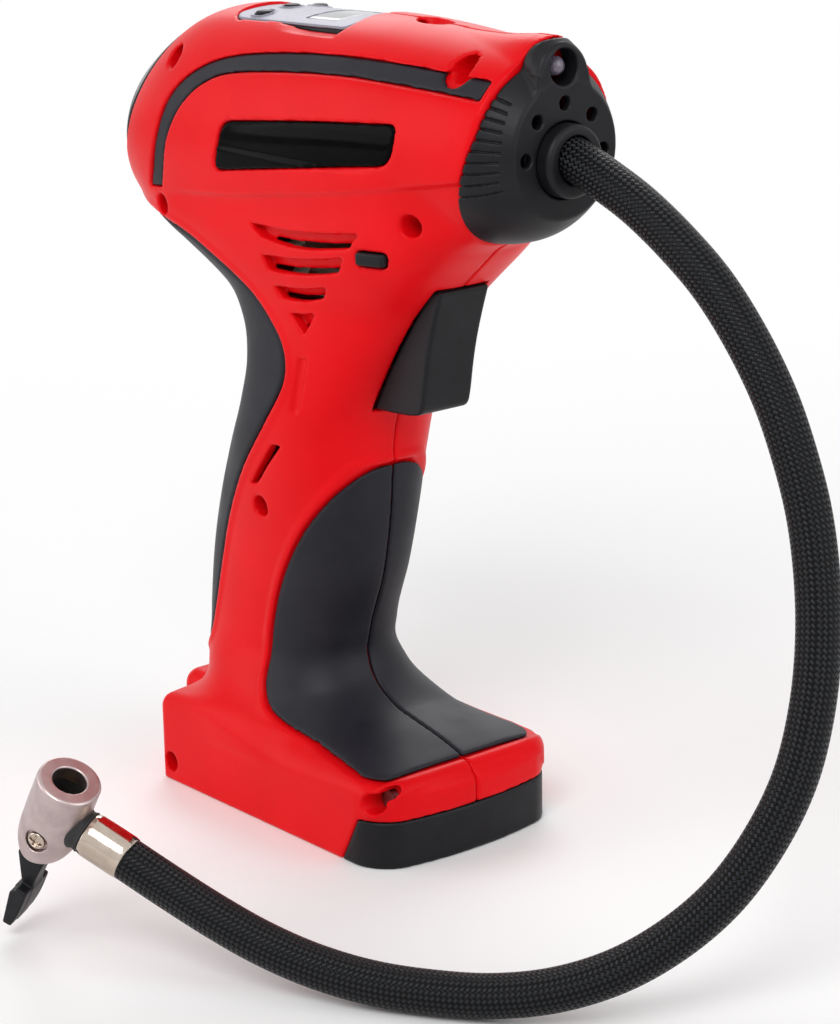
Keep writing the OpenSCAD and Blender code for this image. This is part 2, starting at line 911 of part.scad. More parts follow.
module chuck_lever() {
    color(cover_black)
        at_chuck()
            difference() {
                union() {
                    bar_y(-lever_w / 2, lever_w / 2, 0, chuck_pin_z, 3.2);
                    plate_y([
                        [-3.2, -16], [3.2, -16], [4.6, -26], [5.1, -35], [5, -37], [0.7, -50.3],
                        [-1.9, -49.6], [-2.4, -40], [-1.5, -35], [-3.1, -26]
                    ], -lever_w / 2, lever_w / 2);
                    plate_y([[-2.4, -37], [4.9, -37], [0.7, -50.3], [-1.9, -49.6]], -5.5, 5.5);
                }
                bar_y(-10, 10, 0, chuck_pin_z, 1.55);
            }
}

module lever_pin() {
    color(nickel)
        at_chuck() {
            bar_y(-7.7, 7.7, 0, chuck_pin_z, 1.5);
            bar_y(-8.2, -7.2, 0, chuck_pin_z, 2.4);
        }
}

right_housing();
left_housing();
rear_cap();
nose_cap();
hose_collar();
outlet_fitting();
lamp_led();
lamp_board();
display_bezel();
display_panel();
display_glass();
button_minus();
button_mode();
button_plus();
display_board();
badge_plates();
side_bands();
front_grip_right();
front_grip_left();
rear_grip();
housing_screws();
foot_cover();
battery_cells();
battery_board();
charge_socket();
socket_plug();
trigger();
trigger_spring();
trigger_switch();
lock_button();
motor_can();
motor_endcap();
motor_magnets();
rotor();
cooling_fan();
pinion();
compressor_frame();
gear_axle();
crank_gear();
crank_pin();
connecting_rod();
piston();
piston_seal();
cylinder_head();
air_tube();
wire_loom();
hose();
hose_ferrule();
hose_neck();
chuck_body();
chuck_seal();
chuck_core_pin();
chuck_lever();
lever_pin();
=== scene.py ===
import bpy
import math
import numpy as np
import openvdb as vdb
from mathutils import Euler, Matrix, Vector


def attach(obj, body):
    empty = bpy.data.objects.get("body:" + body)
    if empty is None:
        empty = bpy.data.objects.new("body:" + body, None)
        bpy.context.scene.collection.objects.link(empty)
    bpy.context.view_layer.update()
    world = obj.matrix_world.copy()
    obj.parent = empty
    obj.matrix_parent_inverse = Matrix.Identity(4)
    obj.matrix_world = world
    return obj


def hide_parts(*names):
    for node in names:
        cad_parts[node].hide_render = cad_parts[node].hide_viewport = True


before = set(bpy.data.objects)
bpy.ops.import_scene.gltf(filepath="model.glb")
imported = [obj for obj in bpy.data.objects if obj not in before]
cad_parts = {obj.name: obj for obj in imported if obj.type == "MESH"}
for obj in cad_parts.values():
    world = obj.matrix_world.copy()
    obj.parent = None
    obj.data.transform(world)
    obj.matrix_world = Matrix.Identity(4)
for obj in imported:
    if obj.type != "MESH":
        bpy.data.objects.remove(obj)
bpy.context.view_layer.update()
mm = 0.001
print("frame loaded:", len(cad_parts), "nodes")


# camera
cameraView = {
    "position": (0.5961, -0.4779, 0.3075),
    "azimuth": 50.19,      # degrees round the object, 0 looks along +Y
    "elevation": 16.44,
    "roll": -1.09,
    "lens": 105.63,        # on a 36 mm sensor
}


def makeCamera():
    a, e, roll = (math.radians(cameraView[k]) for k in ("azimuth", "elevation", "roll"))
    back = Vector((math.sin(a) * math.cos(e), -math.cos(a) * math.cos(e), math.sin(e)))
    right = Vector((math.cos(a), math.sin(a), 0))
    up = back.cross(right)
    rolledRight = math.cos(roll) * right + math.sin(roll) * up
    rolledUp = math.cos(roll) * up - math.sin(roll) * right
    turn = Matrix((rolledRight, rolledUp, back)).transposed().to_4x4()
    camera = bpy.data.objects.new("camera", bpy.data.cameras.new("camera"))
    camera.matrix_world = Matrix.Translation(cameraView["position"]) @ turn
    camera.data.lens = cameraView["lens"]
    camera.data.sensor_width = 36
    camera.data.clip_start = 0.01
    camera.data.clip_end = 20
    bpy.context.scene.collection.objects.link(camera)
    bpy.context.scene.camera = camera


makeCamera()
print("camera made")


# materials
def toLinear(hexColour):
    channels = [int(hexColour[i:i + 2], 16) / 255 for i in (1, 3, 5)]
    linear = [c / 12.92 if c <= 0.04045 else ((c + 0.055) / 1.055) ** 2.4 for c in channels]
    return (*linear, 1.0)


def addNode(material, kind, settings=None, links=None):
    # settings go on the node or its sockets, links maps an input socket to another node's output
    node = material.node_tree.nodes.new(kind)
    for name, value in (settings or {}).items():
        if isinstance(name, int) or name in node.inputs:
            node.inputs[name].default_value = value
        else:
            setattr(node, name, value)
    for name, output in (links or {}).items():
        material.node_tree.links.new(output, node.inputs[name])
    return node


def newMaterial(name, settings):
    material = bpy.data.materials.new(name)
    material.use_nodes = True
    shader = material.node_tree.nodes["Principled BSDF"]
    for socket, value in settings.items():
        shader.inputs[socket].default_value = value
    return material, shader


def link(material, output, socket):
    material.node_tree.links.new(output, socket)


# object coordinates are metres, so a scale of 1000 / size gives a pattern of that size in mm
def addGrain(material, shader, grainMm, strength, height=0.02):
    # texture of the mould's spark-eroded or etched wall, whose real grain of 0.05 to 0.1 mm is drawn coarser
    place = addNode(material, "ShaderNodeTexCoord").outputs["Object"]
    noise = addNode(material, "ShaderNodeTexNoise", {"Scale": 1000 / grainMm, "Detail": 2.0},
                    {"Vector": place})
    bump = addNode(material, "ShaderNodeBump", {"Strength": strength, "Distance": height * mm},
                   {"Height": noise.outputs["Fac"]})
    link(material, bump.outputs["Normal"], shader.inputs["Normal"])


def vary(material, shader, socket, patchMm, low, high):
    # slow change of a value over the surface, such as handling gloss
    place = addNode(material, "ShaderNodeTexCoord").outputs["Object"]
    noise = addNode(material, "ShaderNodeTexNoise", {"Scale": 1000 / patchMm, "Detail": 3.0},
                    {"Vector": place})
    spread = addNode(material, "ShaderNodeMapRange",
                     {"From Min": 0.3, "From Max": 0.7, "To Min": low, "To Max": high},
                     {"Value": noise.outputs["Fac"]})
    link(material, spread.outputs["Result"], shader.inputs[socket])


def varyColour(material, shader, patchMm, hexLow, hexHigh):
    # slight cloudiness of the pigment
    place = addNode(material, "ShaderNodeTexCoord").outputs["Object"]
    noise = addNode(material, "ShaderNodeTexNoise", {"Scale": 1000 / patchMm, "Detail": 4.0},
                    {"Vector": place})
    ramp = addNode(material, "ShaderNodeValToRGB", {}, {"Fac": noise.outputs["Fac"]})
    ramp.color_ramp.elements[0].position = 0.35
    ramp.color_ramp.elements[0].color = toLinear(hexLow)
    ramp.color_ramp.elements[1].position = 0.65
    ramp.color_ramp.elements[1].color = toLinear(hexHigh)
    link(material, ramp.outputs["Color"], shader.inputs["Base Color"])


def makeRedAbs():
    # ABS, injection moulded in a lightly etched mould: satin, with a soft wide highlight
    material, shader = newMaterial("redAbs", {"IOR": 1.53, "Specular IOR Level": 0.09, "Roughness": 0.34})
    varyColour(material, shader, 18, "#dc0711", "#e20b15")
    vary(material, shader, "Roughness", 22, 0.31, 0.38)
    addGrain(material, shader, 0.45, 0.25, height=0.012)
    return material


def makeSoftTouch():
    # thermoplastic elastomer moulded over the shell: dull, slightly blue-grey, fine sand texture
    material, shader = newMaterial("softTouchTpe", {"IOR": 1.5, "Specular IOR Level": 0.22, "Roughness": 0.5})
    varyColour(material, shader, 9, "#18181f", "#1d1d24")
    vary(material, shader, "Roughness", 14, 0.44, 0.54)
    addGrain(material, shader, 0.5, 0.45, height=0.02)
    return material


def makeNosePlastic():
    # glass-filled nylon, moulded: charcoal with a fine erosion grain
    material, shader = newMaterial("charcoalNylon",
                                   {"IOR": 1.53, "Specular IOR Level": 0.17, "Roughness": 0.4})
    varyColour(material, shader, 6, "#131316", "#17171b")
    vary(material, shader, "Roughness", 10, 0.38, 0.47)
    addGrain(material, shader, 0.4, 0.35, height=0.015)
    return material


def makeGlossBlack():
    # polished black acrylic-faced plate: deep, sharp reflections with faint rub marks
    material, shader = newMaterial("polishedBlackAcrylic",
                                   {"IOR": 1.49, "Specular IOR Level": 0.03, "Roughness": 0.08})
    varyColour(material, shader, 12, "#040405", "#060607")
    vary(material, shader, "Roughness", 8, 0.05, 0.13)
    return material


def makeSmokedCap():
    # tinted polycarbonate end cap, moulded and polished: blue-grey gloss at grazing angles
    material, shader = newMaterial("smokedPolycarbonate",
                                   {"IOR": 1.58, "Specular IOR Level": 0.2, "Roughness": 0.12})
    varyColour(material, shader, 25, "#0c0c10", "#121318")
    vary(material, shader, "Roughness", 12, 0.09, 0.16)
    return material


def makeSilverLacquer():
    # silver lacquer sprayed on plastic: metallic flake under a satin coat, drawn coarser than its 0.05 mm
    material, shader = newMaterial(
        "silverLacquer", {"IOR": 1.5, "Specular IOR Level": 0.2, "Metallic": 0.35, "Roughness": 0.4})
    place = addNode(material, "ShaderNodeTexCoord").outputs["Object"]
    flake = addNode(material, "ShaderNodeTexVoronoi", {"Scale": 1000 / 0.35}, {"Vector": place})
    ramp = addNode(material, "ShaderNodeValToRGB", {}, {"Fac": flake.outputs["Color"]})
    ramp.color_ramp.elements[0].color = toLinear("#7c7a88")
    ramp.color_ramp.elements[1].color = toLinear("#8d8b98")
    link(material, ramp.outputs["Color"], shader.inputs["Base Color"])
    addGrain(material, shader, 0.5, 0.15, height=0.008)
    return material


def makeNickel():
    # bright nickel plate on turned brass: warm grey mirror with fine turning lines
    material, shader = newMaterial("nickelPlate", {"Metallic": 1.0, "Roughness": 0.14})
    varyColour(material, shader, 5, "#b3a497", "#c4b7aa")
    vary(material, shader, "Roughness", 3, 0.1, 0.17)
    addGrain(material, shader, 1.1, 0.1, height=0.02)
    return material


def makeCastNickel():
    # nickel plate on a die casting: the same grey, duller, its skin slightly uneven
    material, shader = newMaterial("nickelPlatedCasting", {"Metallic": 1.0, "Roughness": 0.36})
    varyColour(material, shader, 5, "#ad9c9b", "#bcadab")
    vary(material, shader, "Roughness", 3, 0.32, 0.42)
    addGrain(material, shader, 0.9, 0.25, height=0.03)
    return material


def makeSteel():
    # zinc plated steel screw: grey with a slight blue cast and a worn drive
    material, shader = newMaterial("zincPlatedSteel", {"Metallic": 1.0, "Roughness": 0.35})
    varyColour(material, shader, 3, "#7c7f85", "#96999e")
    addGrain(material, shader, 0.4, 0.3, height=0.01)
    return material


def makeBrass():
    # turned brass, tarnished brown in the open bore
    material, shader = newMaterial("turnedBrass", {"Metallic": 1.0, "Roughness": 0.28})
    varyColour(material, shader, 3, "#6b5530", "#7c6439")
    return material


def makeRubber():
    # moulded nitrile rubber: near black, dull with a slight bloom
    material, shader = newMaterial("nitrileRubber", {"IOR": 1.52, "Roughness": 0.7})
    varyColour(material, shader, 3, "#161617", "#1f1f21")
    addGrain(material, shader, 0.4, 0.3)
    return material


def makeDisplayGlass():
    # clear window over a grey liquid crystal layer
    material, shader = newMaterial("displayWindow",
                                   {"IOR": 1.49, "Specular IOR Level": 0.3, "Roughness": 0.06})
    varyColour(material, shader, 10, "#9b9fa2", "#a8acae")
    return material


def makeLens():
    # clear epoxy of a 5 mm diode; its lilac tint is a painted reflection of pink-white glints
    material, shader = newMaterial("clearEpoxyPaintedReflection", {"IOR": 1.52, "Roughness": 0.04, "Transmission Weight": 0.8})
    varyColour(material, shader, 4, "#b9acc6", "#cbbfd6")
    return material


def makeInside(name, hexLow, hexHigh, metallic=0.0, roughness=0.5):
    # parts inside the shell, seen only through the vents or when it is opened
    material, shader = newMaterial(name, {"Metallic": metallic, "Roughness": roughness})
    varyColour(material, shader, 6, hexLow, hexHigh)
    addGrain(material, shader, 0.5, 0.2)
    return material


braid = {"bundles": 24, "pitchMm": 1.35, "reliefMm": 0.2}


def makeBraid():
    # polyester braid woven over a rubber hose: flat crossing bundles that catch the light at their crowns,
    # where the colour also carries a painted highlight
    material, shader = newMaterial("polyesterBraid",
                                   {"IOR": 1.5, "Specular IOR Level": 0.13, "Roughness": 0.32})
    turn = addNode(material, "ShaderNodeTexCoord")      # u runs once round the hose, v is mm along it
    parts = addNode(material, "ShaderNodeSeparateXYZ", {}, {"Vector": turn.outputs["UV"]})
    steps = [("round", "MULTIPLY", "u", braid["bundles"]), ("along", "DIVIDE", "v", braid["pitchMm"])]
    for hand, operation in (("left", "ADD"), ("right", "SUBTRACT")):
        # the rounded top of a bundle across its lane, and the number of the lane
        steps += [
            (hand, operation, "round", "along"), ("part", "FRACT", hand), ("off", "SUBTRACT", "part", 0.5),
            ("squared", "MULTIPLY", "off", "off"), ("fall", "MULTIPLY", "squared", 4.0),
            (hand + "Crown", "SUBTRACT", 1.0, "fall"), (hand + "Lane", "FLOOR", hand)]
    steps += [
        # over one, under one: the parity of the two lane numbers decides which bundle is on top
        ("lanes", "ADD", "leftLane", "rightLane"), ("half", "MULTIPLY", "lanes", 0.5),
        ("parity", "FRACT", "half"), ("top", "GREATER_THAN", "parity", 0.25), ("under", "SUBTRACT", 1.0, "top"),
        ("leftTop", "MULTIPLY", "leftCrown", "top"), ("rightTop", "MULTIPLY", "rightCrown", "under"),
        ("height", "ADD", "leftTop", "rightTop"),
        # painted highlight: the bundles of one hand are coloured lighter and read as rows of light dashes along
        # the hose
        ("more", "MULTIPLY", "top", 0.7), ("paintedRowShine", "ADD", "more", 0.3),
        ("lit", "MULTIPLY", "height", "paintedRowShine"),
    ]
    value = {"u": parts.outputs["X"], "v": parts.outputs["Y"]}
    for name, operation, *inputs in steps:
        fixed = {k: a for k, a in enumerate(inputs) if not isinstance(a, str)}
        linked = {k: value[a] for k, a in enumerate(inputs) if isinstance(a, str)}
        node = addNode(material, "ShaderNodeMath", {"operation": operation, **fixed}, linked)
        value[name] = node.outputs["Value"]
    bump = addNode(material, "ShaderNodeBump", {"Strength": 1.0, "Distance": braid["reliefMm"] * mm},
                   {"Height": value["height"]})
    link(material, bump.outputs["Normal"], shader.inputs["Normal"])
    # painted light and shade: dark in the valleys between the bundles, lighter on their crowns
    ramp = addNode(material, "ShaderNodeValToRGB", {}, {"Fac": value["lit"]})
    ramp.color_ramp.elements[0].position = 0.45
    ramp.color_ramp.elements[0].color = toLinear("#020203")
    ramp.color_ramp.elements[1].position = 1.0
    ramp.color_ramp.elements[1].color = toLinear("#2b2d32")
    link(material, ramp.outputs["Color"], shader.inputs["Base Color"])
    return material


materials = {
    "redAbs": makeRedAbs(), "softTouch": makeSoftTouch(), "nose": makeNosePlastic(),
    "gloss": makeGlossBlack(), "smoked": makeSmokedCap(), "silver": makeSilverLacquer(),
    "nickel": makeNickel(), "castNickel": makeCastNickel(), "steel": makeSteel(), "brass": makeBrass(),
    "rubber": makeRubber(), "window": makeDisplayGlass(), "lens": makeLens(), "braid": makeBraid(),
    "copper": makeInside("enamelledCopper", "#9a5a30", "#b0683a", 0.9, 0.35),
    "board": makeInside("solderMask", "#17502b", "#1f5f35", 0.0, 0.35),
    "sleeve": makeInside("shrinkSleeve", "#2560a0", "#2f6fb3", 0.0, 0.3),
    "whiteNylon": makeInside("naturalNylon", "#cfc9b7", "#ddd8c8"),
    "darkNylon": makeInside("glassFilledNylon", "#33363c", "#3d4148"),
    "alloy": makeInside("dieCastAlloy", "#83878c", "#94989d", 0.9, 0.45),
    "wire": makeInside("wireInsulation", "#8f1d1d", "#a82626"),
}
print("materials made:", len(materials))


# hose
# the route, as the construction has it
hoseRoute = [(x * mm, y * mm, z * mm) for x, y, z in [
    (77, 0, 187.8), (84, 0, 185.8), (92, 0.8, 182.5), (102, 2, 177.5), (113, 3, 170.5),
    (124, 3.8, 162), (134, 4.2, 151.5), (143, 4, 140), (150, 3.2, 128.5), (156.5, 1.8, 115.5),
    (161.5, -0.5, 101.5), (165, -3.5, 87.5), (167, -7.5, 73), (167, -12.5, 58.5),
    (164.5, -19, 45), (160, -27, 32.5), (153.5, -36, 22.5), (145, -45.5, 14.5),
    (134.5, -55, 9), (123, -64, 6.2), (111, -72.5, 5.6), (98.5, -80.5, 6.2), (86, -87.5, 8.4),
    (74, -93.5, 12), (62.5, -98.5, 16.5), (51, -103.2, 21.6), (41, -108, 27),
]]
hose = {"diameter": 10.5 * mm, "sides": 48, "steps": 12}


def smoothLine(points, steps):
    # Catmull-Rom curve through the points
    line = []
    last = len(points) - 1
    for i in range(last):
        p0, p1, p2, p3 = (Vector(points[max(0, min(last, k))]) for k in (i - 1, i, i + 1, i + 2))
        for s in range(steps):
            t = s / steps
            line.append(0.5 * (2 * p1 + (p2 - p0) * t + (2 * p0 - 5 * p1 + 4 * p2 - p3) * t ** 2
                               + (3 * p1 - p0 - 3 * p2 + p3) * t ** 3))
    line.append(Vector(points[-1]))
    return line


def newPiece(name, mesh, body, material, replaced, sharp=None):
    piece = bpy.data.objects.new(name, mesh)
    bpy.context.scene.collection.objects.link(piece)
    mesh.materials.append(materials[material])
    mesh.shade_smooth()
    if sharp:
        mesh.set_sharp_from_angle(angle=math.radians(sharp))
    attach(piece, body)
    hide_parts(*replaced)
    return piece


def makeHose():
    line = smoothLine(hoseRoute, hose["steps"])
    sides, radius = hose["sides"], hose["diameter"] / 2
    travelled = [0.0]
    for a, b in zip(line, line[1:]):
        travelled.append(travelled[-1] + (b - a).length)
    vertices, faces, uvs = [], [], []
    side = Vector((0, 1, 0))
    for k, point in enumerate(line):
        run = (line[min(k + 1, len(line) - 1)] - line[max(k - 1, 0)]).normalized()
        side = (side - run * side.dot(run)).normalized()   # carried along without twist
        up = run.cross(side)
        for i in range(sides):
            a = 2 * math.pi * i / sides
            vertices.append(point + radius * (math.cos(a) * side + math.sin(a) * up))
    for k in range(len(line) - 1):
        for i in range(sides):
            j = (i + 1) % sides
            faces.append((k * sides + i, k * sides + j, (k + 1) * sides + j, (k + 1) * sides + i))
            uvs += [(i / sides, travelled[k] / mm), ((i + 1) / sides, travelled[k] / mm),
                    ((i + 1) / sides, travelled[k + 1] / mm), (i / sides, travelled[k + 1] / mm)]
    last = (len(line) - 1) * sides
    faces.append(tuple(range(sides - 1, -1, -1)))
    faces.append(tuple(range(last, last + sides)))
    uvs += [(0, 0)] * (2 * sides)
    mesh = bpy.data.meshes.new("braided_hose")
    mesh.from_pydata([tuple(v) for v in vertices], [], faces)
    mesh.update()
    piece = newPiece("braided_hose", mesh, "housing", "braid", ["hose"])
    layer = mesh.uv_layers.new(name="round and along")
    layer.data.foreach_set("uv", np.array(uvs, np.float32).ravel())
    print("hose length, mm:", round(travelled[-1] / mm, 1))
    return piece, line, travelled[-1]


hosePiece, hoseLine, hoseLength = makeHose()


# forms
# a form is a field of distances in mm on a grid, below zero inside it, so that forms join, cut and round
def makeGrid(low, high, step):
    axes = [np.arange(a, b + step, step, dtype=np.float32) for a, b in zip(low, high)]
    return {"low": low, "step": step, "x": axes[0][:, None, None], "y": axes[1][None, :, None],
            "z": axes[2][None, None, :]}


def shared(a, b, r=0.0):
    # what lies in both, its outer edge rounded to r
    if r == 0:
        return np.maximum(a, b)
    return np.minimum(np.maximum(a, b), -r) + np.hypot(np.maximum(a + r, 0), np.maximum(b + r, 0))


def joined(a, b, r=0.0):
    # what lies in either, the corner between them filled to r
    return -shared(-a, -b, r)


def less(a, b, r=0.0):
    return shared(a, -b, r)


def track(at, known, values):
    # smooth curve through the known values
    known, values = np.array(known, np.float32), np.array(values, np.float32)
    slopes = np.gradient(values, known)
    at = np.clip(at, known[0], known[-1])
    k = np.clip(np.searchsorted(known, at) - 1, 0, len(known) - 2)
    width = known[k + 1] - known[k]
    t = (at - known[k]) / width
    return ((2 * t ** 3 - 3 * t ** 2 + 1) * values[k] + (t ** 3 - 2 * t ** 2 + t) * width * slopes[k]
            + (3 * t ** 2 - 2 * t ** 3) * values[k + 1] + (t ** 3 - t ** 2) * width * slopes[k + 1])


def ease(value, start, end):
    t = np.clip((value - start) / (end - start), 0, 1)
    return t * t * (3 - 2 * t)


def ringField(a, b, halfA, halfB, power):
    # squarish oval section
    q = np.abs(a / halfA) ** power + np.abs(b / halfB) ** power + 1e-6
    return np.sqrt(a ** 2 + b ** 2) * (1 - q ** (-1 / power))


def flowing(points, steps=5):
    # a closed outline: a point with a third value is a corner of that radius, the others are passed in a flow
    line = []
    count = len(points)
    for i, point in enumerate(points):
        p = np.array(point[:2], float)
        before, after = (np.array(points[(i + k) % count][:2], float) - p for k in (-1, 1))
        if len(point) > 2:
            before, after = (v / np.linalg.norm(v) * min(point[2], np.linalg.norm(v) / 2)
                             for v in (before, after))
        else:
            before, after = before / 2, after / 2
        for k in range(steps):
            t = k / (steps - 1)
            line.append(tuple(p + before * (1 - t) ** 2 + after * t ** 2))
    return line


def outlineField(points, u, v):
    # signed distance to a closed outline in the plane of u and v
    nearest, inside = 1e9, False
    for (au, av), (bu, bv) in zip(points, points[1:] + points[:1]):
        eu, ev = bu - au, bv - av
        length = eu * eu + ev * ev
        if length < 1e-8:
            continue
        t = np.clip(((u - au) * eu + (v - av) * ev) / length, 0, 1)
        nearest = np.minimum(nearest, (u - au - eu * t) ** 2 + (v - av - ev * t) ** 2)
        if av != bv:
            inside = inside ^ (((av <= v) != (bv <= v)) & (u < au + (v - av) * eu / ev))
    return np.where(inside, -1, 1).astype(np.float32) * np.sqrt(nearest)


def barField(g, axis, centre, r, start, end, edge=0.0):
    # round bar along an axis
    others = [k for k in "xyz" if k != axis]
    across = np.hypot(g[others[0]] - centre[0], g[others[1]] - centre[1]) - r
    return shared(across, np.maximum(start - g[axis], g[axis] - end), edge)


def boxField(g, low, high, r=0.0):
    sides = [np.maximum(a - g[k], g[k] - b) for a, b, k in zip(low, high, "xyz")]
    return shared(shared(sides[0], sides[1], r), sides[2], r)


def meshForm(field, g):
    volume = vdb.FloatGrid(background=3.0)
    volume.copyFromArray(np.clip(np.broadcast_to(field, (g["x"].size, g["y"].size, g["z"].size)), -3, 3)
                         .astype(np.float32), tolerance=0.0)
    volume.transform = vdb.createLinearTransform(voxelSize=g["step"])
    points, quads = volume.convertToQuads(isovalue=0.0)
    points = (points + np.array(g["low"], np.float32)) * mm
    a, b, c, d = (points[quads[:, k]] for k in range(4))
    facing = np.einsum("ij,ij->i", (a + b + c + d) / 4, np.cross(c - a, d - b)).sum()
    return points, quads if facing > 0 else quads[:, ::-1]


def mirrored(points, quads):
    return points * np.array([1, -1, 1], np.float32), quads[:, ::-1]


def bothSides(points, quads):
    other, turned = mirrored(points, quads)
    return np.concatenate([points, other]), np.concatenate([quads, turned + len(points)])


def formPiece(name, shape, body, material, replaced, place=None, sharp=None):
    points, quads = shape
    if place is not None:
        points = points @ np.array(place.to_3x3()).T + np.array(place.translation)
    mesh = bpy.data.meshes.new(name)
    mesh.vertices.add(len(points))
    mesh.vertices.foreach_set("co", np.ascontiguousarray(points, np.float32).ravel())
    mesh.loops.add(quads.size)
    mesh.loops.foreach_set("vertex_index", np.ascontiguousarray(quads, np.int32).ravel())
    mesh.polygons.add(len(quads))
    mesh.polygons.foreach_set("loop_start", np.arange(0, quads.size, 4, dtype=np.int32))
    mesh.update(calc_edges=True)
    mesh.validate()
    print(" ", name, len(quads), "quads")
    newPiece(name, mesh, body, material, replaced, sharp)


# housing form, shared by the red halves, grips, bands, badges and end cap
housing = {
    "step": 0.6,
    "wall": 3.2,
    "parting": 0.06,
    # barrel sections: x: (top z, bottom z, half width)
    "barrel": {
        -83: (175, 167, 4), -80.5: (183, 161, 11.5), -75: (194.6, 155.5, 19.4), -64.5: (203.6, 152, 24.8),
        -47: (212, 151.5, 28.2), -22: (214.7, 153.5, 29.5), 3: (215.1, 156, 29.5), 28: (215.1, 159.5, 28),
        48: (213.8, 162, 26), 66: (211.8, 164, 23.5), 81: (208.5, 168, 20),
    },
    "barrelTip": (-83.4, 171),
    "barrelPower": 2.1,
    # handle sections: z: (rear x, front x, half width)
    "handle": {
        26: (-54, 12, 27), 36: (-56.5, 3, 23), 43: (-57.2, 0, 20.5), 50.5: (-57.2, 1.4, 19.9),
        67.5: (-55, 7.6, 19.9), 84.5: (-49, 11, 21.2), 99.5: (-41.5, 12.6, 22.8), 112: (-35, 15, 23.8),
        124: (-32.7, 21.7, 23.5), 134: (-35, 28.5, 23.5), 143: (-42, 35.6, 24.3), 152: (-57, 44, 26.2),
        160: (-72, 53.3, 27.6), 166: (-76, 60, 27.5), 172: (-74, 61, 27.6), 179: (-68, 60, 28.2),
    },
    "handlePower": (2.4, 3.1, 140, 156),     # its sections grow squarer between these heights
    "handleEnds": (22, 179),
    # the base: x: top z at the sides, and x: top z on the middle plane
    "baseSide": {-57: 24.2, -48.8: 25, -34.7: 26.6, -16.7: 23.8, -5.9: 21.4, 9.3: 21.2, 32.3: 22.4, 44: 21.4},
    "baseMiddle": {
        -57: 24.6, -50: 26.5, -20: 31, 5: 31.4, 21.6: 28.5, 32.3: 26.1, 39.2: 23.8, 42.7: 21.8, 44: 21.4},
    "baseHalf": 31,
    "plan": {
        "front": 44, "frontBow": 2.6, "rear": -57, "rearBow": 1.9, "frontCorner": 9.0, "rearCorner": 2.6},
    "rearBoss": ((-66.5, -15.5, 2.5), (-45, 15.5, 25.5), 4.5),      # low and high corners, edge radius
    "blend": {"handle": 3.0, "base": 6.5, "boss": 1.2, "hood": 2.0},
    # where the red ends and the nose begins: z: x
    "noseSeam": {
        150: 53, 162: 58, 175: 63.4, 188: 68.9, 193.5: 70.8, 197: 71.3, 201: 71.8, 205: 72.2, 208: 72.4,
        211: 72.8, 213: 73.7, 214.2: 75.3, 215.2: 77.2, 218: 80},
    "capSeam": (-65.6, 186, 30),        # a point of the seam, x and z, and its lean in degrees
    "hood": {
        "z": 206.9, "r": 8.05, "widest": 70, "taper": 0.095, "bend": 75.2, "fall": 0.6, "to": 78.8,
        "edge": 1.2},
    # the lower edge of the barrel's side panel: x: z
    "panelEdge": {-60: 164.5, -37.6: 167.4, -19.3: 169, 2.6: 171.9, 22.2: 174.6, 47.5: 178.6, 66: 182},
    "panelStep": 1.4,
    "lip": {"high": 0.5, "off": 1.1, "half": 2.2, "fade": (27, 32)},     # along the grips, fading at the base
    "lampSeat": (207.8, 6.1), "socket": (14, 5.2),      # height and radius of the bores
    # a dish in the crown, x, half length, half width and floor, with a slot in its far wall
    "dish": (32.4, 5.6, 3.6, 213.3), "slot": ((25.6, -1.5, 208), (37, 4.6, 214.1)),
}


def capSeamField(g):
    x, z, lean = housing["capSeam"]
    lean = math.radians(lean)
    return (g["x"] - x) * math.cos(lean) - (g["z"] - z) * math.sin(lean)


def noseSeamField(g):
    at = track(g["z"], list(housing["noseSeam"]), list(housing["noseSeam"].values()))
    return (g["x"] - at) / np.hypot(1, np.gradient(at, g["step"], axis=2))


def hoodField(g):
    # the lamp's hood swells out of the crown and runs on through the nose
    hood = housing["hood"]
    r = hood["r"] - hood["taper"] * np.maximum(hood["widest"] - g["x"], 0)
    z = hood["z"] - hood["fall"] * np.maximum(g["x"] - hood["bend"], 0)
    return shared(np.hypot(g["y"], g["z"] - z) - r, g["x"] - hood["to"], hood["edge"])


def barrelField(g):
    sections = housing["barrel"]
    tip, tipZ = housing["barrelTip"]
    known = [0] + [math.sqrt(x - tip) for x in sections]     # the end is round, so its width follows a root
    at = np.sqrt(np.clip(g["x"] - tip, 0, None))
    top = track(at, known, [tipZ] + [s[0] for s in sections.values()])
    low = track(at, known, [tipZ] + [s[1] for s in sections.values()])
    half = track(at, known, [0] + [s[2] for s in sections.values()])
    half = np.maximum(half, 0.05)
    high = np.maximum((top - low) / 2, 0.05)
    return ringField(g["y"], g["z"] - (top + low) / 2, half, high, housing["barrelPower"])


def handleField(g):
    sections = housing["handle"]
    rear, front, half = (track(g["z"], list(sections), [s[k] for s in sections.values()]) for k in range(3))
    slim, square, start, end = housing["handlePower"]
    power = slim + (square - slim) * ease(g["z"], start, end)
    ring = ringField(g["x"] - (rear + front) / 2, g["y"], (front - rear) / 2, half, power)
    foot, head = housing["handleEnds"]
    return np.maximum(ring, np.maximum(foot - g["z"], g["z"] - head))


def planField(g):
    # outline of the base seen from above: slightly round at the front and the rear
    plan, half = housing["plan"], housing["baseHalf"]
    side = np.abs(g["y"]) - half
    front = g["x"] - (plan["front"] - plan["frontBow"] * (g["y"] / 24) ** 2)
    rear = (plan["rear"] + plan["rearBow"] * (g["y"] / half) ** 2) - g["x"]
    return shared(shared(side, front, plan["frontCorner"]), rear, plan["rearCorner"])


def baseField(g):
    side = track(g["x"], list(housing["baseSide"]), list(housing["baseSide"].values()))
    middle = track(g["x"], list(housing["baseMiddle"]), list(housing["baseMiddle"].values()))
    top = side + (middle - side) * (1 - np.clip(np.abs(g["y"]) / housing["baseHalf"], 0, 1) ** 2.4)
    return shared(shared(planField(g), g["z"] - top, 3.5), -g["z"], 0.5)


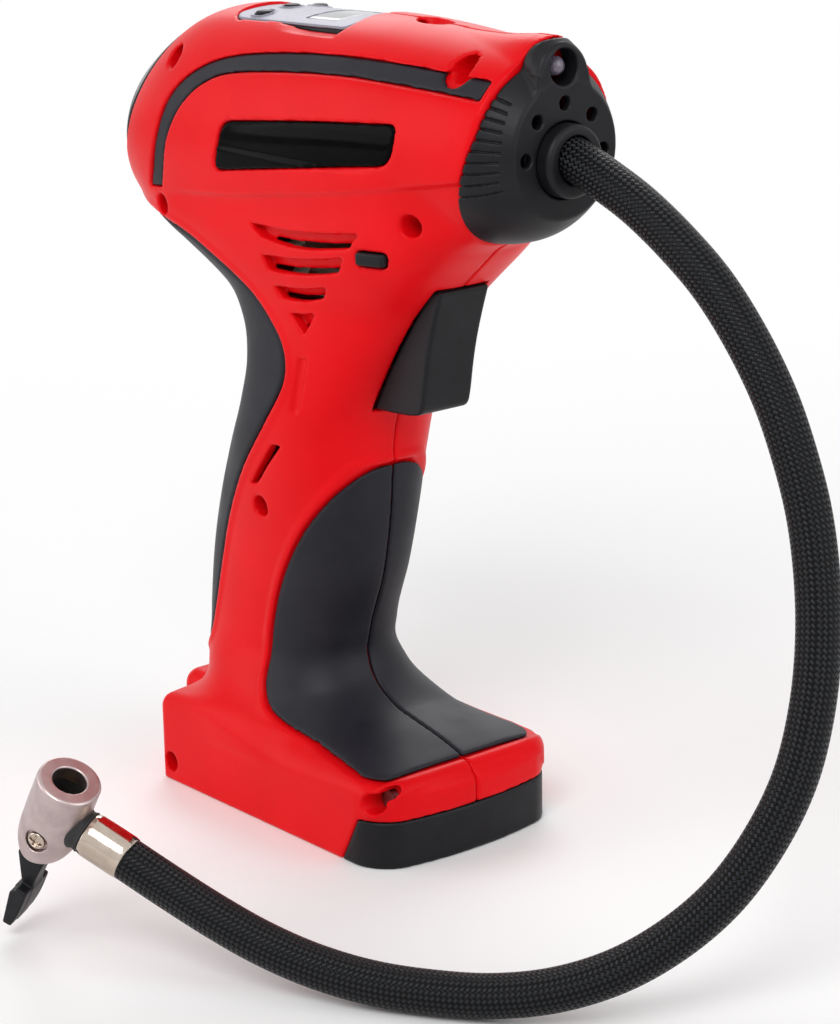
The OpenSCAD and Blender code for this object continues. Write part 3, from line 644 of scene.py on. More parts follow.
def bodyField(g):
    blend = housing["blend"]
    body = joined(barrelField(g), handleField(g), blend["handle"])
    body = joined(body, baseField(g), blend["base"])
    body = joined(body, boxField(g, *housing["rearBoss"]), blend["boss"])
    body = joined(body, hoodField(g), blend["hood"])
    # the side panel of the barrel ends in a small step over the handle
    edge = track(g["x"], list(housing["panelEdge"]), list(housing["panelEdge"].values()))
    below = edge - g["z"]
    step = housing["panelStep"] * np.clip(below / 1.3, 0, 1) * (1 - ease(below, 4, 24))
    body = body + step * ease(g["x"], -52, -36)
    gradient = np.gradient(body, g["step"])
    return body / np.clip(np.sqrt(sum(part * part for part in gradient)), 0.4, 2.5)


# closed outlines in x and z, shared by the beds and openings of the housing and by what fills them
outlines = {
    "badge": [
        (-22.8, 174.6, 3), (-18, 187.9, 4), (14.5, 191.4), (47.3, 193.6, 3), (45, 183.4, 5), (13.5, 179.6)],
    "band": [
        (-57.9, 165.8, 0.5), (-52.8, 174), (-48.9, 182), (-44.4, 190.3), (-38.9, 196), (-31.5, 200.2),
        (-24, 202.8), (-12.8, 204.8), (6.4, 206.5), (24.5, 207.1), (46, 206.7), (76, 204.6, 0.5),
        (76, 200.2, 0.5), (60, 201.6), (45, 202.3), (28, 202.9),
        (10, 202.3), (-9.3, 200.8), (-21.3, 199.2), (-27, 197.2),
        (-32.8, 194), (-38.7, 188.5), (-43.7, 181.5), (-47.2, 174.4), (-51, 166.4, 0.5)],
    "frontGrip": [
        (30, 99, 2), (12.1, 99, 3), (10, 96.1), (3.7, 88.9), (-6.3, 76.6), (-14.2, 62.6), (-17.9, 49.3),
        (-18.2, 40), (-16.6, 33), (-10, 28.2), (9.3, 24.7), (24, 23.5), (33, 22.7), (60, 22, 1), (60, 99, 1)],
    "rearGrip": [
        (-90, 160, 1), (-50, 158.5), (-28.1, 150.4), (-15.8, 144.5), (-6.9, 136.9), (-1.7, 129.1), (-3, 120),
        (-12.6, 107.8), (-25.9, 92.8), (-35.4, 76.9), (-40, 64.1), (-43.7, 51.6), (-47, 42), (-51, 37.6, 1),
        (-90, 37.6, 1)],
    "trigger": [
        (38, 149.9, 0.6), (42.1, 149.2, 1.2), (39.7, 142.5), (37.2, 134.5), (35.6, 127), (34.7, 121),
        (33.5, 116.4, 2), (28, 115.2), (20, 114.8), (14.8, 114.8, 0.6), (18.2, 121.4), (26.9, 134.6),
        (29.6, 138)],
    "lock": [(30.1, 160.5, 0.9), (38.7, 160.6, 0.9), (37.5, 156.9, 0.9), (29.5, 156.9, 0.9)],
    "display": [
        (-34.6, -10, 2), (-30.8, -13.3, 2), (13.2, -13.3, 2), (13.2, 13.3, 2), (-30.8, 13.3, 2),
        (-34.6, 10, 2)],
    "foot": [(24.8, -1, 0.3), (28.6, 6), (32.2, 13, 0.6), (60, 13, 0.5), (60, -1, 0.5)],
}
vents = [
    [(-11.6, 162, 0.8), (10, 162.4), (31, 165, 0.8), (29.1, 163.1), (27.6, 160.9, 0.6), (8, 157.9),
     (-6.5, 159.3, 0.6)],
    [(-7.1, 154.5, 0.8), (9, 155.4), (25.1, 158.2, 0.8), (22.3, 153.9, 0.6), (8, 151.2), (-5, 151, 0.6)],
    [(-3.7, 146.8, 0.7), (6.5, 147.3), (16.8, 149.3, 0.7), (14.4, 146, 0.6), (6, 143.9), (-1.8, 143.9, 0.6)],
    [(0.9, 140.3, 0.6), (5.5, 140.5), (10.2, 141.5, 0.6), (7.9, 138.2, 0.5), (5.4, 135.2, 0.6),
     (3.4, 137.6, 0.5)],
]
# how far down the louvre behind each vent reaches, how deep it lies and half its thickness
louvre = {"closed": (2.9, 2.8, 2.2, 3.2), "deep": 4.2, "half": 1.1}
grooves = {
    "shallow": [
        (3, 128.9, 0.5), (5.7, 128.8, 0.5), (3.6, 121), (1.5, 114, 0.5), (-1.1, 113.4, 0.5), (0.8, 121)],
    "deep": [(-10, 103.1, 0.4), (-6.4, 103.7, 0.4), (-18.4, 90.8, 0.4), (-21.3, 90.2, 0.4)],
}
screws = {
    "head": 2.8, "post": 4.0, "depth": 7.0,     # well radius, post radius and how deep the head lies
    # x, z and how far the skin is from the middle plane
    "places": [(-46.7, 200.7, 22.4), (-51.8, 161.6, 24.5), (46.5, 168.5, 18.3), (-18, 84.5, 21),
               (-50.5, 5.5, 31), (36.6, 18, 29)],
    # x, z, radius and floor of the well that opens through the shoulder, and its solid surround
    "notch": (59.6, 206.9, 3.1, 8.0), "notchPost": 4.1,
    "keyhole": (39.2, 20.8, 1.7),
}
display = {
    # crowned panel: height of its middle line at an x, its rise to the front, and the radius across
    "middle": (-25, 213.4, 0.025, 50), "thick": 0.8,
    "window": (-7.4, 5.2, 9.2), "buttonX": -25, "buttonPitch": 9.1, "buttonR": 2.2, "foot": 210.5,
    # beside its front half the skin is scooped down, so that the black frame shows
    "scoop": {"x": (-23, 2, 11.5, 15), "y": (4.5, 10), "deep": 2.8, "lift": 1.4},
}
bed = {"grip": 1.2, "band": 1.9, "badge": 1.6, "gap": 0.05}      # depths, and the gap round what fills them
press = {"halfWide": 8.2, "edge": 1, "travel": 6, "shaft": (0, 130.5), "shaftR": 3.8}       # the trigger
lockProud = 0.8     # the button follows the skin and stands this much over it


def outlineOn(g, name, grow=0.0):
    points = outlines[name] if isinstance(name, str) else name
    return outlineField(flowing(points), g["x"], g["z"]) - grow


def panelTop(g):
    x, z, rise, r = display["middle"]
    return z + rise * (g["x"] - x) - g["y"] ** 2 / (2 * r)


def recess(red, body, region, depth, r):
    # lowers the skin inside a region
    return less(red, shared(region, -(body + depth)), r)


def keyhole(g, grow):
    x, z, _ = screws["places"][-1]
    lobeX, lobeZ, lobeR = screws["keyhole"]
    main = np.hypot(g["x"] - x, g["z"] - z) - screws["head"]
    return np.minimum(main, np.hypot(g["x"] - lobeX, g["z"] - lobeZ) - lobeR) - grow


def makeHousing():
    g = makeGrid((-85, -32.4, -1.8), (83, 0.6, 217.2), housing["step"])
    body = bodyField(g)
    panel = outlineField(flowing(outlines["display"]), g["x"], g["y"])
    grip = shared(outlineOn(g, "frontGrip"), -keyhole(g, 1.5), 0.5)
    rearGrip = outlineOn(g, "rearGrip")
    # the skin swells to a soft lip along the grips
    lip = housing["lip"]
    swell = sum(lip["high"] * ease(1 - np.abs(edge - lip["off"]) / lip["half"], 0, 1)
                for edge in (grip, rearGrip))
    red = shared(body - swell * ease(g["z"], *lip["fade"]), -(body + housing["wall"]))
    posts = [np.hypot(g["x"] - x, g["z"] - z) - screws["post"] for x, z, _ in screws["places"]]
    for post in posts:
        red = np.minimum(red, shared(post, body + 1.5))
    red = np.minimum(red, shared(keyhole(g, 2.2), body + 0.3))
    red = joined(red, shared(keyhole(g, 1.1), np.maximum(body - 0.6, -30.8 - g["y"]), 0.4), 0.4)
    notchX, notchZ, notchR, notchFloor = screws["notch"]
    notch = np.hypot(g["x"] - notchX, g["z"] - notchZ)
    red = np.minimum(red, shared(notch - screws["notchPost"], body + 0.5))
    # seams on the middle plane, at the nose, the end cap and the base cover
    red = shared(red, g["y"] + housing["parting"], 0.3)
    red = shared(red, np.minimum(noseSeamField(g), g["z"] - 150) + 0.1, 0.3)
    red = less(red, capSeamField(g) - 0.1, 0.6)
    red = less(red, outlineOn(g, "foot", 0.1), 0.4)
    lampZ, seatR = housing["lampSeat"]
    red = less(red, barField(g, "x", (0, lampZ), seatR, 69, 90))
    # beds of the grips, bands and badges
    red = recess(red, body, grip - 0.25, bed["grip"], 0.5)
    red = recess(red, body, rearGrip - 0.25, bed["grip"], 0.5)
    band = shared(outlineOn(g, "band"), noseSeamField(g) + 2.2, 0.5)
    red = recess(red, body, band - 0.1, bed["band"], 0.7)
    red = recess(red, body, outlineOn(g, "badge", 0.1), bed["badge"], 0.5)
    # openings
    red = less(red, shared(panel - 0.1, 205.5 - g["z"]), 0.4)
    scoop = display["scoop"]
    x0, x1, x2, x3 = scoop["x"]
    fall = scoop["deep"] * ease(g["x"], x0, x1) * (1 - ease(g["x"], x2, x3)) * ease(np.abs(g["y"]), *scoop["y"])
    red = less(red, shared(panel - 3.0, panelTop(g) + scoop["lift"] - fall - g["z"]), 0.6)
    pressed = [(x - press["travel"], z, *r) for x, z, *r in outlines["trigger"]]
    trigger = np.minimum(outlineOn(g, "trigger"), outlineOn(g, pressed))
    red = less(red, shared(trigger - 0.4, -g["y"] - press["halfWide"] - 0.4), 0.5)
    red = less(red, outlineOn(g, "lock", 0.3), 0.4)
    for vent, closed in zip(vents, louvre["closed"]):
        red = less(red, shared(outlineOn(g, vent), g["y"] + 12), 0.4)
        # a louvre closes the vent behind its upper part
        lowered = outlineOn(g, [(p[0], p[1] - closed, *p[2:]) for p in vent])
        plate = shared(outlineOn(g, vent, 1.2), np.abs(body + louvre["deep"]) - louvre["half"])
        red = np.minimum(red, shared(plate, -lowered))
    red = recess(red, body, outlineOn(g, grooves["shallow"]), 0.8, 0.4)
    red = recess(red, body, outlineOn(g, grooves["deep"]), 4.0, 0.3)
    dishX, dishLong, dishWide, dishFloor = housing["dish"]
    dish = (np.hypot((g["x"] - dishX) / dishLong, g["y"] / dishWide) - 1) * dishWide
    red = less(red, shared(dish, dishFloor - g["z"]), 0.8)
    red = less(red, boxField(g, *housing["slot"], 0.4), 0.2)
    socketZ, socketR = housing["socket"]
    red = less(red, barField(g, "x", (0, socketZ), socketR, -80, -50), 0.3)
    right = red
    for x, z, skin in screws["places"]:
        well = np.hypot(g["x"] - x, g["z"] - z) - screws["head"]
        if (x, z, skin) == screws["places"][-1]:
            well = keyhole(g, 0)
        right = less(right, shared(well, g["y"] + skin - screws["depth"]), 0.5)
    right = less(right, shared(notch - notchR, g["y"] + notchFloor), 0.5)
    formPiece("right_housing_shell", meshForm(right, g), "housing", "redAbs", ["right_housing"])
    left = mirrored(*meshForm(red, g))
    formPiece("left_housing_shell", left, "housing", "redAbs", ["left_housing"])
    # soft parts and plates that lie in the beds
    inner = -(body + 1.1)
    field = shared(shared(shared(grip + bed["gap"], body - 0.15, 1.2), g["y"] + 0.14, 0.4), inner)
    shape = meshForm(field, g)
    formPiece("front_grip_skin_right", shape, "housing", "softTouch", ["front_grip_right"])
    shape = mirrored(*shape)
    formPiece("front_grip_skin_left", shape, "housing", "softTouch", ["front_grip_left"])
    band = shared(shared(band + bed["gap"], body + 0.5, 0.5), -(body + bed["band"] - 0.1))
    band = less(band, notch - screws["notchPost"], 0.3)
    shape = bothSides(*meshForm(band, g))
    formPiece("side_band_inlays", shape, "housing", "softTouch", ["side_bands"])
    badge = shared(shared(outlineOn(g, "badge", -bed["gap"]), body + 0.2, 0.4), -(body + bed["badge"] - 0.05))
    shape = bothSides(*meshForm(badge, g))
    formPiece("badge_inlays", shape, "housing", "gloss", ["badge_plates"])


def makeRearParts():
    # one piece each across the middle plane
    g = makeGrid((-84.6, -26, 150), (-48, 26, 216), 0.5)
    body = bodyField(g)
    cap = shared(shared(body + 0.2, capSeamField(g) + 1.0, 0.8), -(body + 2.4))
    formPiece("rear_cap_dome", meshForm(cap, g), "housing", "smoked", ["rear_cap"])
    g = makeGrid((-80, -28, 35), (4, 28, 162), 0.6)
    body = bodyField(g)
    grip = shared(shared(outlineOn(g, "rearGrip", -bed["gap"]), body - 0.15, 1.2), -(body + 1.1))
    formPiece("rear_grip_skin", meshForm(grip, g), "housing", "softTouch", ["rear_grip"])


makeHousing()
makeRearParts()
print("housing made")


# nose
nose = {
    "centre": (0, 188), "front": 78.8,
    # cone: x: radius
    "cone": {53: 25.9, 58: 25, 64.7: 24, 69.4: 22.6, 71.2: 21.8, 76.5: 18.3, 78.8: 16.4, 82: 13.2},
    "lampZ": 207.8, "lampBore": 4.4,
    "holeR": 1.7, "ringR": 12.3, "ringZ": 187, "collarZ": 185.8, "collarR": 8.9, "collarBore": 9.2,
    "hoseR": 5.6, "hoseAt": (77, 187.8), "hoseFall": 0.286,
    "ribs": 10, "ribStart": -24.8, "ribPitch": 7.25,     # degrees up from the horizontal
    "slitWide": 0.5, "slitDeep": 0.6,
    "cheek": (8.15, 0.2, 206.9, 197),       # half width, spread going down, top and foot
}


def makeNose():
    g = makeGrid((51.6, -26.4, 160), (80.1, 26.4, 216), 0.32)
    across, high = g["y"], g["z"] - nose["centre"][1]
    radius = np.hypot(across, high)
    cone = track(g["x"], list(nose["cone"]), list(nose["cone"].values()))
    angle = np.degrees(np.arctan2(high, np.abs(across)))
    lane = (angle - nose["ribStart"]) / nose["ribPitch"]
    inRibs = ease(lane, -0.6, -0.3) * (1 - ease(lane, nose["ribs"] - 0.7, nose["ribs"] - 0.4))
    offLane = np.radians((lane - np.round(lane)) * nose["ribPitch"])      # zero on a slit
    fromMiddle = np.radians((lane - np.floor(lane) - 0.5) * nose["ribPitch"])
    radius = radius * (1 + (np.cos(fromMiddle) - 1) * 0.8 * inRibs)        # flats between the slits
    field = (radius - cone) * 0.86
    slit = np.hypot(across, high) * np.abs(np.sin(offLane)) - nose["slitWide"] / 2
    slit = np.maximum(slit, np.where(inRibs > 0.5, -1.0, 1.0))
    slit = shared(slit, g["x"] - 76.4 + 0.02 * np.abs(angle - 8))
    field = less(field, shared(slit, -(field + nose["slitDeep"])), 0.05)
    # straight cheeks carry the lamp's hood down to the cone
    wide, spread, top, low = nose["cheek"]
    cheek = np.abs(across) - wide - spread * np.maximum(top - 0.9 - g["z"], 0)
    cheek = shared(cheek, np.maximum(g["z"] - top, low - g["z"]))
    cheek = shared(cheek, g["x"] - nose["front"], 0.9)
    field = joined(field, np.minimum(hoodField(g), cheek), 1.0)
    field = shared(field, g["x"] - nose["front"], 0.5)
    field = shared(field, 0.15 - noseSeamField(g), 0.3)
    hollow = np.maximum(np.hypot(across, high) - cone + 2.4, g["x"] - nose["front"] + 2.3)
    field = less(field, hollow)
    # the lamp sits in a tube behind its bevelled bore
    tube = barField(g, "x", (0, nose["lampZ"]), nose["lampBore"] + 1.3, 69.5, 78)
    field = np.minimum(field, shared(tube, 0.6 - noseSeamField(g)))
    field = less(field, barField(g, "x", (0, nose["lampZ"]), nose["lampBore"], 40, 90), 0.7)
    field = less(field, barField(g, "x", (0, nose["collarZ"]), nose["collarBore"], 40, 90), 0.3)
    for turn in range(-90, 91, 45):
        a = math.radians(turn)
        centre = (nose["ringR"] * math.sin(a), nose["ringZ"] + nose["ringR"] * math.cos(a))
        field = less(field, barField(g, "x", centre, nose["holeR"], 60, 90), 0.2)
    formPiece("nose_cap_cone", meshForm(field, g), "housing", "nose", ["nose_cap"])


def turned(name, profile, centre, body, material, replaced, slot, place=None, sides=96, axis="x"):
    # solid of revolution: its profile is (along, radius, corner), closed on the axis or as a ring
    rings = np.array(flowing(profile))
    turns = 2 * np.pi * np.arange(sides) / sides
    along = np.repeat(rings[:, 0], sides)
    u = (rings[:, 1:2] * np.cos(turns)).ravel()
    v = (rings[:, 1:2] * np.sin(turns)).ravel()
    columns = {"x": (along, u, v), "y": (v, along, u), "z": (u, v, along)}[axis]
    vertices = (np.stack(columns, 1) + np.array(centre)) * mm
    count = len(rings)
    faces = []
    for k in range(count):
        n = (k + 1) % count
        for i in range(sides):
            j = (i + 1) % sides
            faces.append((k * sides + i, k * sides + j, n * sides + j, n * sides + i))
    formPiece(name, (vertices, np.array(faces)), body, material, replaced, place, sharp=40)


def makeNoseFittings():
    g = makeGrid((72.2, -11.8, 174.4), (83.6, 11.8, 198.4), 0.3)
    collar = barField(g, "x", (0, nose["collarZ"]), nose["collarR"], 73.2, 82.8, 1.4)
    collar = joined(collar, barField(g, "x", (0, nose["collarZ"]), 10.9, 73.2, 76.5, 0.3), 0.3)
    # the bore follows the hose, which leaves the collar at a slant
    atX, atZ = nose["hoseAt"]
    fall = (g["z"] - atZ + nose["hoseFall"] * (g["x"] - atX)) / math.hypot(1, nose["hoseFall"])
    collar = less(collar, np.hypot(g["y"], fall) - nose["hoseR"], 0.5)
    formPiece("hose_collar_ring", meshForm(collar, g), "housing", "nose", ["hose_collar"])
    turned("lamp_lens", [
        (69, 0.01), (69, 2.9, 0.1), (70, 2.9, 0.1), (70, 2.5, 0.1), (75.1, 2.5), (76.4, 2.1), (77.2, 1.3),
        (77.5, 0.01, 0.1)],
        (0, 0, nose["lampZ"]), "housing", "lens", ["lamp_led"], "lens", sides=48)


makeNose()
makeNoseFittings()
print("nose made")


# base cover, trigger and lock
def makeFootCover():
    g = makeGrid((-58, -32.4, -1.2), (45.2, 32.4, 14.2), 0.6)
    plan = planField(g)
    block = shared(shared(plan, -g["z"], 0.5), outlineOn(g, "foot", -0.1), 0.4)
    block = shared(block, -shared(plan + 2.4, 2.2 - g["z"]))
    plate = shared(plan + 2.8, np.maximum(g["z"] - 2.2, -g["z"]), 0.3)
    field = np.minimum(block, plate)
    field = less(field, barField(g, "y", (-50.5, 5.5), 3.8, -40, 40))
    formPiece("foot_cover_tray", meshForm(field, g), "housing", "nose", ["foot_cover"])


def makeTrigger():
    g = makeGrid((13, -9.2, 112.6), (44, 9.2, 151.2), 0.35)
    field = shared(outlineOn(g, "trigger"), np.abs(g["y"]) - press["halfWide"], press["edge"])
    spring = barField(g, "x", press["shaft"], press["shaftR"], 10, 24)
    tongue = boxField(g, (18.8, -5, 126), (33, 5, 135), 0.5)
    field = np.minimum(less(field, spring, 0.2), less(tongue, spring, 0.2))
    formPiece("trigger_lever", meshForm(field, g), "trigger", "nose", ["trigger"])


def makeLock():
    g = makeGrid((28.2, -27.2, 155.6), (40.2, 27.2, 161.8), 0.4)
    field = shared(outlineOn(g, "lock", -0.05), bodyField(g) - lockProud, 0.7)
    formPiece("lock_bar", meshForm(field, g), "lock_button", "nose", ["lock_button"])


makeFootCover()
makeTrigger()
makeLock()
print("controls made")


# display
def makeDisplay():
    g = makeGrid((-35.5, -14.4, 206.4), (14.2, 14.4, 215.4), 0.35)
    top, thick = panelTop(g), display["thick"]
    outline = outlineField(flowing(outlines["display"]), g["x"], g["y"])
    x0, x1, half = display["window"]
    window = shared(np.maximum(x0 - 0.1 - g["x"], g["x"] - x1 - 0.1), np.abs(g["y"]) - half - 0.1, 0.8)
    fromButton = np.minimum.reduce([np.hypot(g["x"] - display["buttonX"], g["y"] - s * display["buttonPitch"])
                                    for s in (-1, 0, 1)])
    holes = fromButton - display["buttonR"] - 0.3
    openings = np.minimum(window, holes)
    panel = shared(outline, np.maximum(g["z"] - top, top - thick - g["z"]), 0.3)
    # bright rings round the buttons
    panel = np.minimum(panel, np.hypot(fromButton - display["buttonR"] - 0.75, g["z"] - top) - 0.45)
    panel = less(panel, openings, 0.15)
    formPiece("display_fascia", meshForm(panel, g), "housing", "silver", ["display_panel"])
    bezel = shared(outline + 0.25, np.maximum(g["z"] - top + thick, top - 5 - g["z"]), 0.2)
    bezel = less(bezel, shared(outline + 1.7, g["z"] - top + thick + 1.4))
    bezel = less(bezel, np.minimum(shared(window - 0.1, top - 4 - g["z"]), holes - 0.8))
    formPiece("display_frame", meshForm(bezel, g), "housing", "nose", ["display_bezel"])
    glass = shared(window + 0.2, np.maximum(g["z"] - top + 0.15, top - 1.4 - g["z"]), 0.15)
    formPiece("display_window", meshForm(glass, g), "housing", "window", ["display_glass"])
    for name, s in (("button_minus", -1), ("button_mode", 0), ("button_plus", 1)):
        y, r = s * display["buttonPitch"], display["buttonR"]
        z = display["middle"][1] - y * y / (2 * display["middle"][3])
        foot = display["foot"] - z
        profile = [(foot, 0.01), (foot, r + 0.8, 0.2), (foot + 0.5, r + 0.8, 0.2), (foot + 0.5, r, 0.1),
                   (0.4, r), (0.75, r - 0.3), (0.9, r - 1), (0.95, 0.01, 0.1)]
        turned(name + "_cap", profile, (display["buttonX"], y, z), name, "nose", [name], "black_plastic",
               sides=48, axis="z")


makeDisplay()
print("display made")


# chuck
chuck = {
    "place": (31, -116.5, 46.5), "turn": (13, 28, 30),      # mm and degrees
    "r": 7.9, "bore": 4.2, "sealBore": 5.2, "slotHalf": 3.45, "pinZ": -15.8, "pinR": 1.5, "hoseZ": -11.5,
    "side": [(-8, 1, 0.1), (8, 1, 0.1), (8, -15.6), (7.2, -19.6), (4.6, -21.9), (-0.5, -23.3), (-4.4, -21.4),
             (-8, -16.6)],
    "lever": [(-3.2, -13), (3.2, -13), (3.1, -20), (2.6, -26), (1.8, -32.5), (2.2, -36.4, 0.5), (2.2, -41),
              (1.9, -44.5), (1.3, -48.2, 0.5), (-1.2, -48.4, 0.5), (-2.4, -37.9, 0.5), (-0.9, -36.4, 0.4),
              (-3, -31.8), (-5, -27.2, 0.6), (-3.3, -23.8), (-3.2, -20)],
    "leverHalf": 2.4, "padHalf": 5.4, "padTop": -35.6,
}


def makeChuck():
    turn = Euler([math.radians(a) for a in chuck["turn"]])
    place = Matrix.LocRotScale(Vector(chuck["place"]) * mm, turn, None)
    pin = (0, chuck["pinZ"])
    g = makeGrid((-8.4, -8.4, -24), (8.6, 8.4, 0.6), 0.22)
    body = shared(np.hypot(g["x"], g["y"]) - chuck["r"], g["z"], 0.8)
    body = shared(body, outlineField(flowing(chuck["side"]), g["x"], g["z"]), 0.9)
    body = less(body, barField(g, "z", (0, 0), chuck["bore"], -4, 5), 0.4)
    body = less(body, barField(g, "z", (0, 0), chuck["sealBore"], -13, -4.1))
    slot = shared(shared(g["x"] - 4.6, np.abs(g["y"]) - chuck["slotHalf"]), g["z"] + 12.2)
    body = less(body, slot, 0.3)
    body = less(body, barField(g, "x", (0, chuck["hoseZ"]), 1.5, 3, 9))
    body = less(body, barField(g, "y", pin, chuck["pinR"], -10, 10))
    body = less(body, barField(g, "y", pin, 2 * chuck["pinR"], -10, -6.2), 0.2)
    formPiece("chuck_shell", meshForm(body, g), "housing", "castNickel", ["chuck_body"], place)
    g = makeGrid((-5.6, -6, -51), (5.8, 6, -12), 0.25)
    outline = outlineField(flowing(chuck["lever"]), g["x"], g["z"])
    lever = shared(outline, np.abs(g["y"]) - chuck["leverHalf"] - 0.8 * ease(g["z"], -27, -23), 0.4)
    boss = barField(g, "y", pin, 3.2, -3.2, 3.2, 0.3)
    pad = shared(shared(outline + 0.1, np.abs(g["y"]) - chuck["padHalf"], 0.4), g["z"] - chuck["padTop"], 0.4)
    lever = joined(joined(lever, boss, 0.5), pad, 0.4)
    lever = less(lever, barField(g, "y", pin, chuck["pinR"] + 0.05, -10, 10))
    shape = meshForm(lever, g)
    formPiece("chuck_thumb_lever", shape, "chuck_lever", "nose", ["chuck_lever"], place)
    hoseEnd = (0, 0, chuck["hoseZ"])
    turned("hose_ferrule_sleeve", [
        (8.9, 3.0, 0.1), (8.9, 5.2, 0.4), (10.2, 5.55, 0.3), (19.3, 5.55, 0.3), (20.5, 5.4, 0.5),
        (20.5, 5.26, 0.1), (10.4, 5.26, 0.2), (10.4, 3.0, 0.1)],
        hoseEnd, "housing", "nickel", ["hose_ferrule"], "nickel", place)
    turned("hose_neck_sleeve", [
        (4.7, 1.7, 0.1), (4.7, 5.2, 0.3), (6.6, 5.7, 0.5), (7.6, 5.0, 0.5), (8.9, 5.5, 0.3), (8.9, 1.7, 0.1)],
        hoseEnd, "housing", "rubber", ["hose_neck"], "seal_rubber", place)
    turned("chuck_seal_ring", [
        (-8.9, 4.5, 0.2), (-8.9, 5.15, 0.2), (-4.1, 5.15, 0.2), (-4.1, 4.5, 0.4)],
        (0, 0, 0), "housing", "rubber", ["chuck_seal"], "seal_rubber", place, axis="z")
    turned("chuck_core_rod", [
        (-11.9, 0.01), (-11.9, 5.15, 0.2), (-9.5, 5.15, 0.2), (-9.5, 0.9, 0.2), (-5.9, 0.9), (-5.6, 0.6),
        (-5.6, 0.01, 0.1)],
        (0, 0, 0), "housing", "brass", ["chuck_core_pin"], "brass_parts", place, axis="z")
    # pin with a crowned, cross-slotted head
    g = makeGrid((-2.8, -8.6, -2.8), (2.8, 8.0, 2.8), 0.14)
    pin = barField(g, "y", (0, 0), chuck["pinR"], -7.7, 7.7, 0.2)
    crown = 0.07 * (g["x"] ** 2 + g["z"] ** 2) - 7.9
    head = shared(np.hypot(g["x"], g["z"]) - 2.3, np.maximum(crown - g["y"], g["y"] + 6.3), 0.3)
    cross = np.minimum(*(np.maximum(np.abs(g[a]) - 0.5, np.abs(g[b]) - 1.7) for a, b in ("xz", "zx")))
    pin = less(np.minimum(pin, head), shared(cross, g["y"] + 6.8), 0.15)
    points, quads = meshForm(pin, g)
    points = points + np.array([0, 0, chuck["pinZ"] * mm], np.float32)
    formPiece("lever_pivot_pin", (points, quads), "housing", "nickel", ["lever_pin"], place)


makeChuck()
print("chuck made")


# finishes on the pieces that keep their shape
nodeFinish = {
    "nose": ["charge_socket", "trigger_switch"],
    "rubber": ["socket_plug", "piston_seal"],
    "brass": ["outlet_fitting", "pinion"],
    "board": ["lamp_board", "display_board", "battery_board"],
    "steel": ["housing_screws", "trigger_spring", "motor_can", "gear_axle", "crank_pin"],
    "sleeve": ["battery_cells"],
    "whiteNylon": ["motor_endcap", "crank_gear", "air_tube"],
    "darkNylon": ["motor_magnets", "cooling_fan", "connecting_rod"],
    "copper": ["rotor"],
    "alloy": ["compressor_frame", "piston", "cylinder_head"],
    "wire": ["wire_loom"],
}
for finish, names in nodeFinish.items():
    for name in names:
        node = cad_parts[name]
        node.data.materials.clear()
        node.data.materials.append(materials[finish])
print("finishes set")


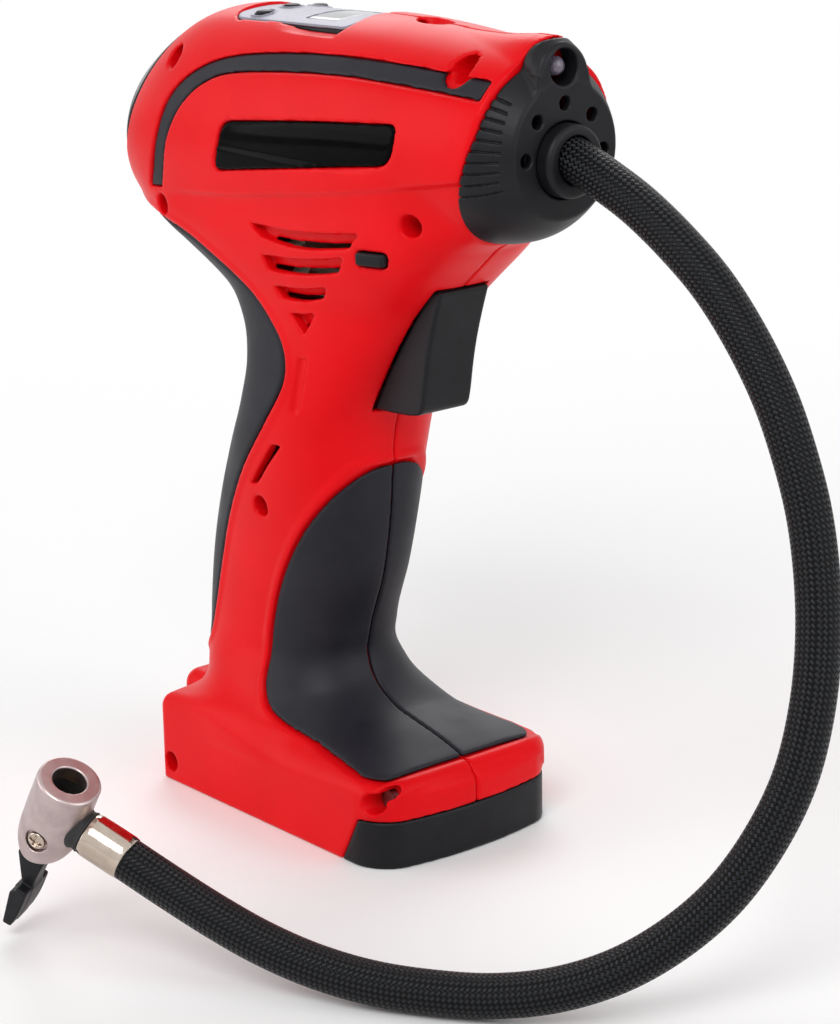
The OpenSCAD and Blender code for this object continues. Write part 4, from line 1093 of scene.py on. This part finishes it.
# floor and light
def makeFloor():
    bpy.ops.mesh.primitive_plane_add(size=8, location=(0, 0, 0))
    floor = bpy.context.object
    floor.name = "floor"
    material, shader = newMaterial("paleFloor", {"Roughness": 0.75})
    place = addNode(material, "ShaderNodeTexCoord").outputs["Object"]
    noise = addNode(material, "ShaderNodeTexNoise", {"Scale": 3.0}, {"Vector": place})
    ramp = addNode(material, "ShaderNodeValToRGB", {}, {"Fac": noise.outputs["Fac"]})
    ramp.color_ramp.elements[0].color = toLinear("#fafafa")
    ramp.color_ramp.elements[1].color = toLinear("#fdfdfd")
    link(material, ramp.outputs["Color"], shader.inputs["Base Color"])
    # the floor keeps the shadow near the tool and runs out into the white background
    away = addNode(material, "ShaderNodeVectorMath", {"operation": "LENGTH"}, {"Vector": place})
    far = addNode(material, "ShaderNodeMapRange", {"From Min": 0.2, "From Max": 0.6},
                  {"Value": away.outputs["Value"]})
    seen = addNode(material, "ShaderNodeLightPath")
    fade = addNode(material, "ShaderNodeMath", {"operation": "MULTIPLY"},
                   {0: far.outputs["Result"], 1: seen.outputs["Is Camera Ray"]})
    white = addNode(material, "ShaderNodeEmission", {"Strength": 1.0})
    mix = addNode(material, "ShaderNodeMixShader", {},
                  {0: fade.outputs["Value"], 1: shader.outputs["BSDF"], 2: white.outputs["Emission"]})
    link(material, mix.outputs["Shader"], material.node_tree.nodes["Material Output"].inputs["Surface"])
    floor.data.materials.append(material)


def makeWorld():
    world = bpy.data.worlds.new("studio")
    bpy.context.scene.world = world
    world.use_nodes = True
    nodes, links = world.node_tree.nodes, world.node_tree.links
    background = nodes["Background"]
    background.inputs["Color"].default_value = (1, 1, 1, 1)
    background.inputs["Strength"].default_value = 0.375
    backdrop = nodes.new("ShaderNodeBackground")
    backdrop.inputs["Color"].default_value = (1, 1, 1, 1)
    mix = nodes.new("ShaderNodeMixShader")
    path = nodes.new("ShaderNodeLightPath")
    seen = path.outputs["Is Camera Ray"]
    for ray in ("Is Glossy Ray", "Is Transmission Ray"):
        either = nodes.new("ShaderNodeMath")
        either.operation = "MAXIMUM"
        links.new(seen, either.inputs[0])
        links.new(path.outputs[ray], either.inputs[1])
        seen = either.outputs[0]
    links.new(seen, mix.inputs["Fac"])
    links.new(background.outputs["Background"], mix.inputs[1])
    links.new(backdrop.outputs["Background"], mix.inputs[2])
    links.new(mix.outputs["Shader"], nodes["World Output"].inputs["Surface"])


lamps = {
    "key": {"place": (0.55, -0.75, 0.95), "size": 0.6, "watts": 6.75},
    "fill": {"place": (1.0, 0.3, 0.55), "size": 0.8, "watts": 3.75},
    "rear": {"place": (-0.7, 0.6, 0.8), "size": 0.7, "watts": 4.5},
    "left": {"place": (-0.5, -0.7, 0.35), "size": 0.6, "watts": 2.25},
}


def makeLamps():
    target = Vector((0.02, -0.02, 0.12))
    for name, lamp in lamps.items():
        light = bpy.data.lights.new(name, "AREA")
        light.size = lamp["size"]
        light.energy = lamp["watts"]
        holder = bpy.data.objects.new(name, light)
        holder.location = lamp["place"]
        holder.rotation_euler = (target - Vector(lamp["place"])).to_track_quat("-Z", "Y").to_euler()
        bpy.context.scene.collection.objects.link(holder)


makeFloor()
makeWorld()
makeLamps()
bpy.context.scene.view_settings.view_transform = "Standard"
print("studio made")
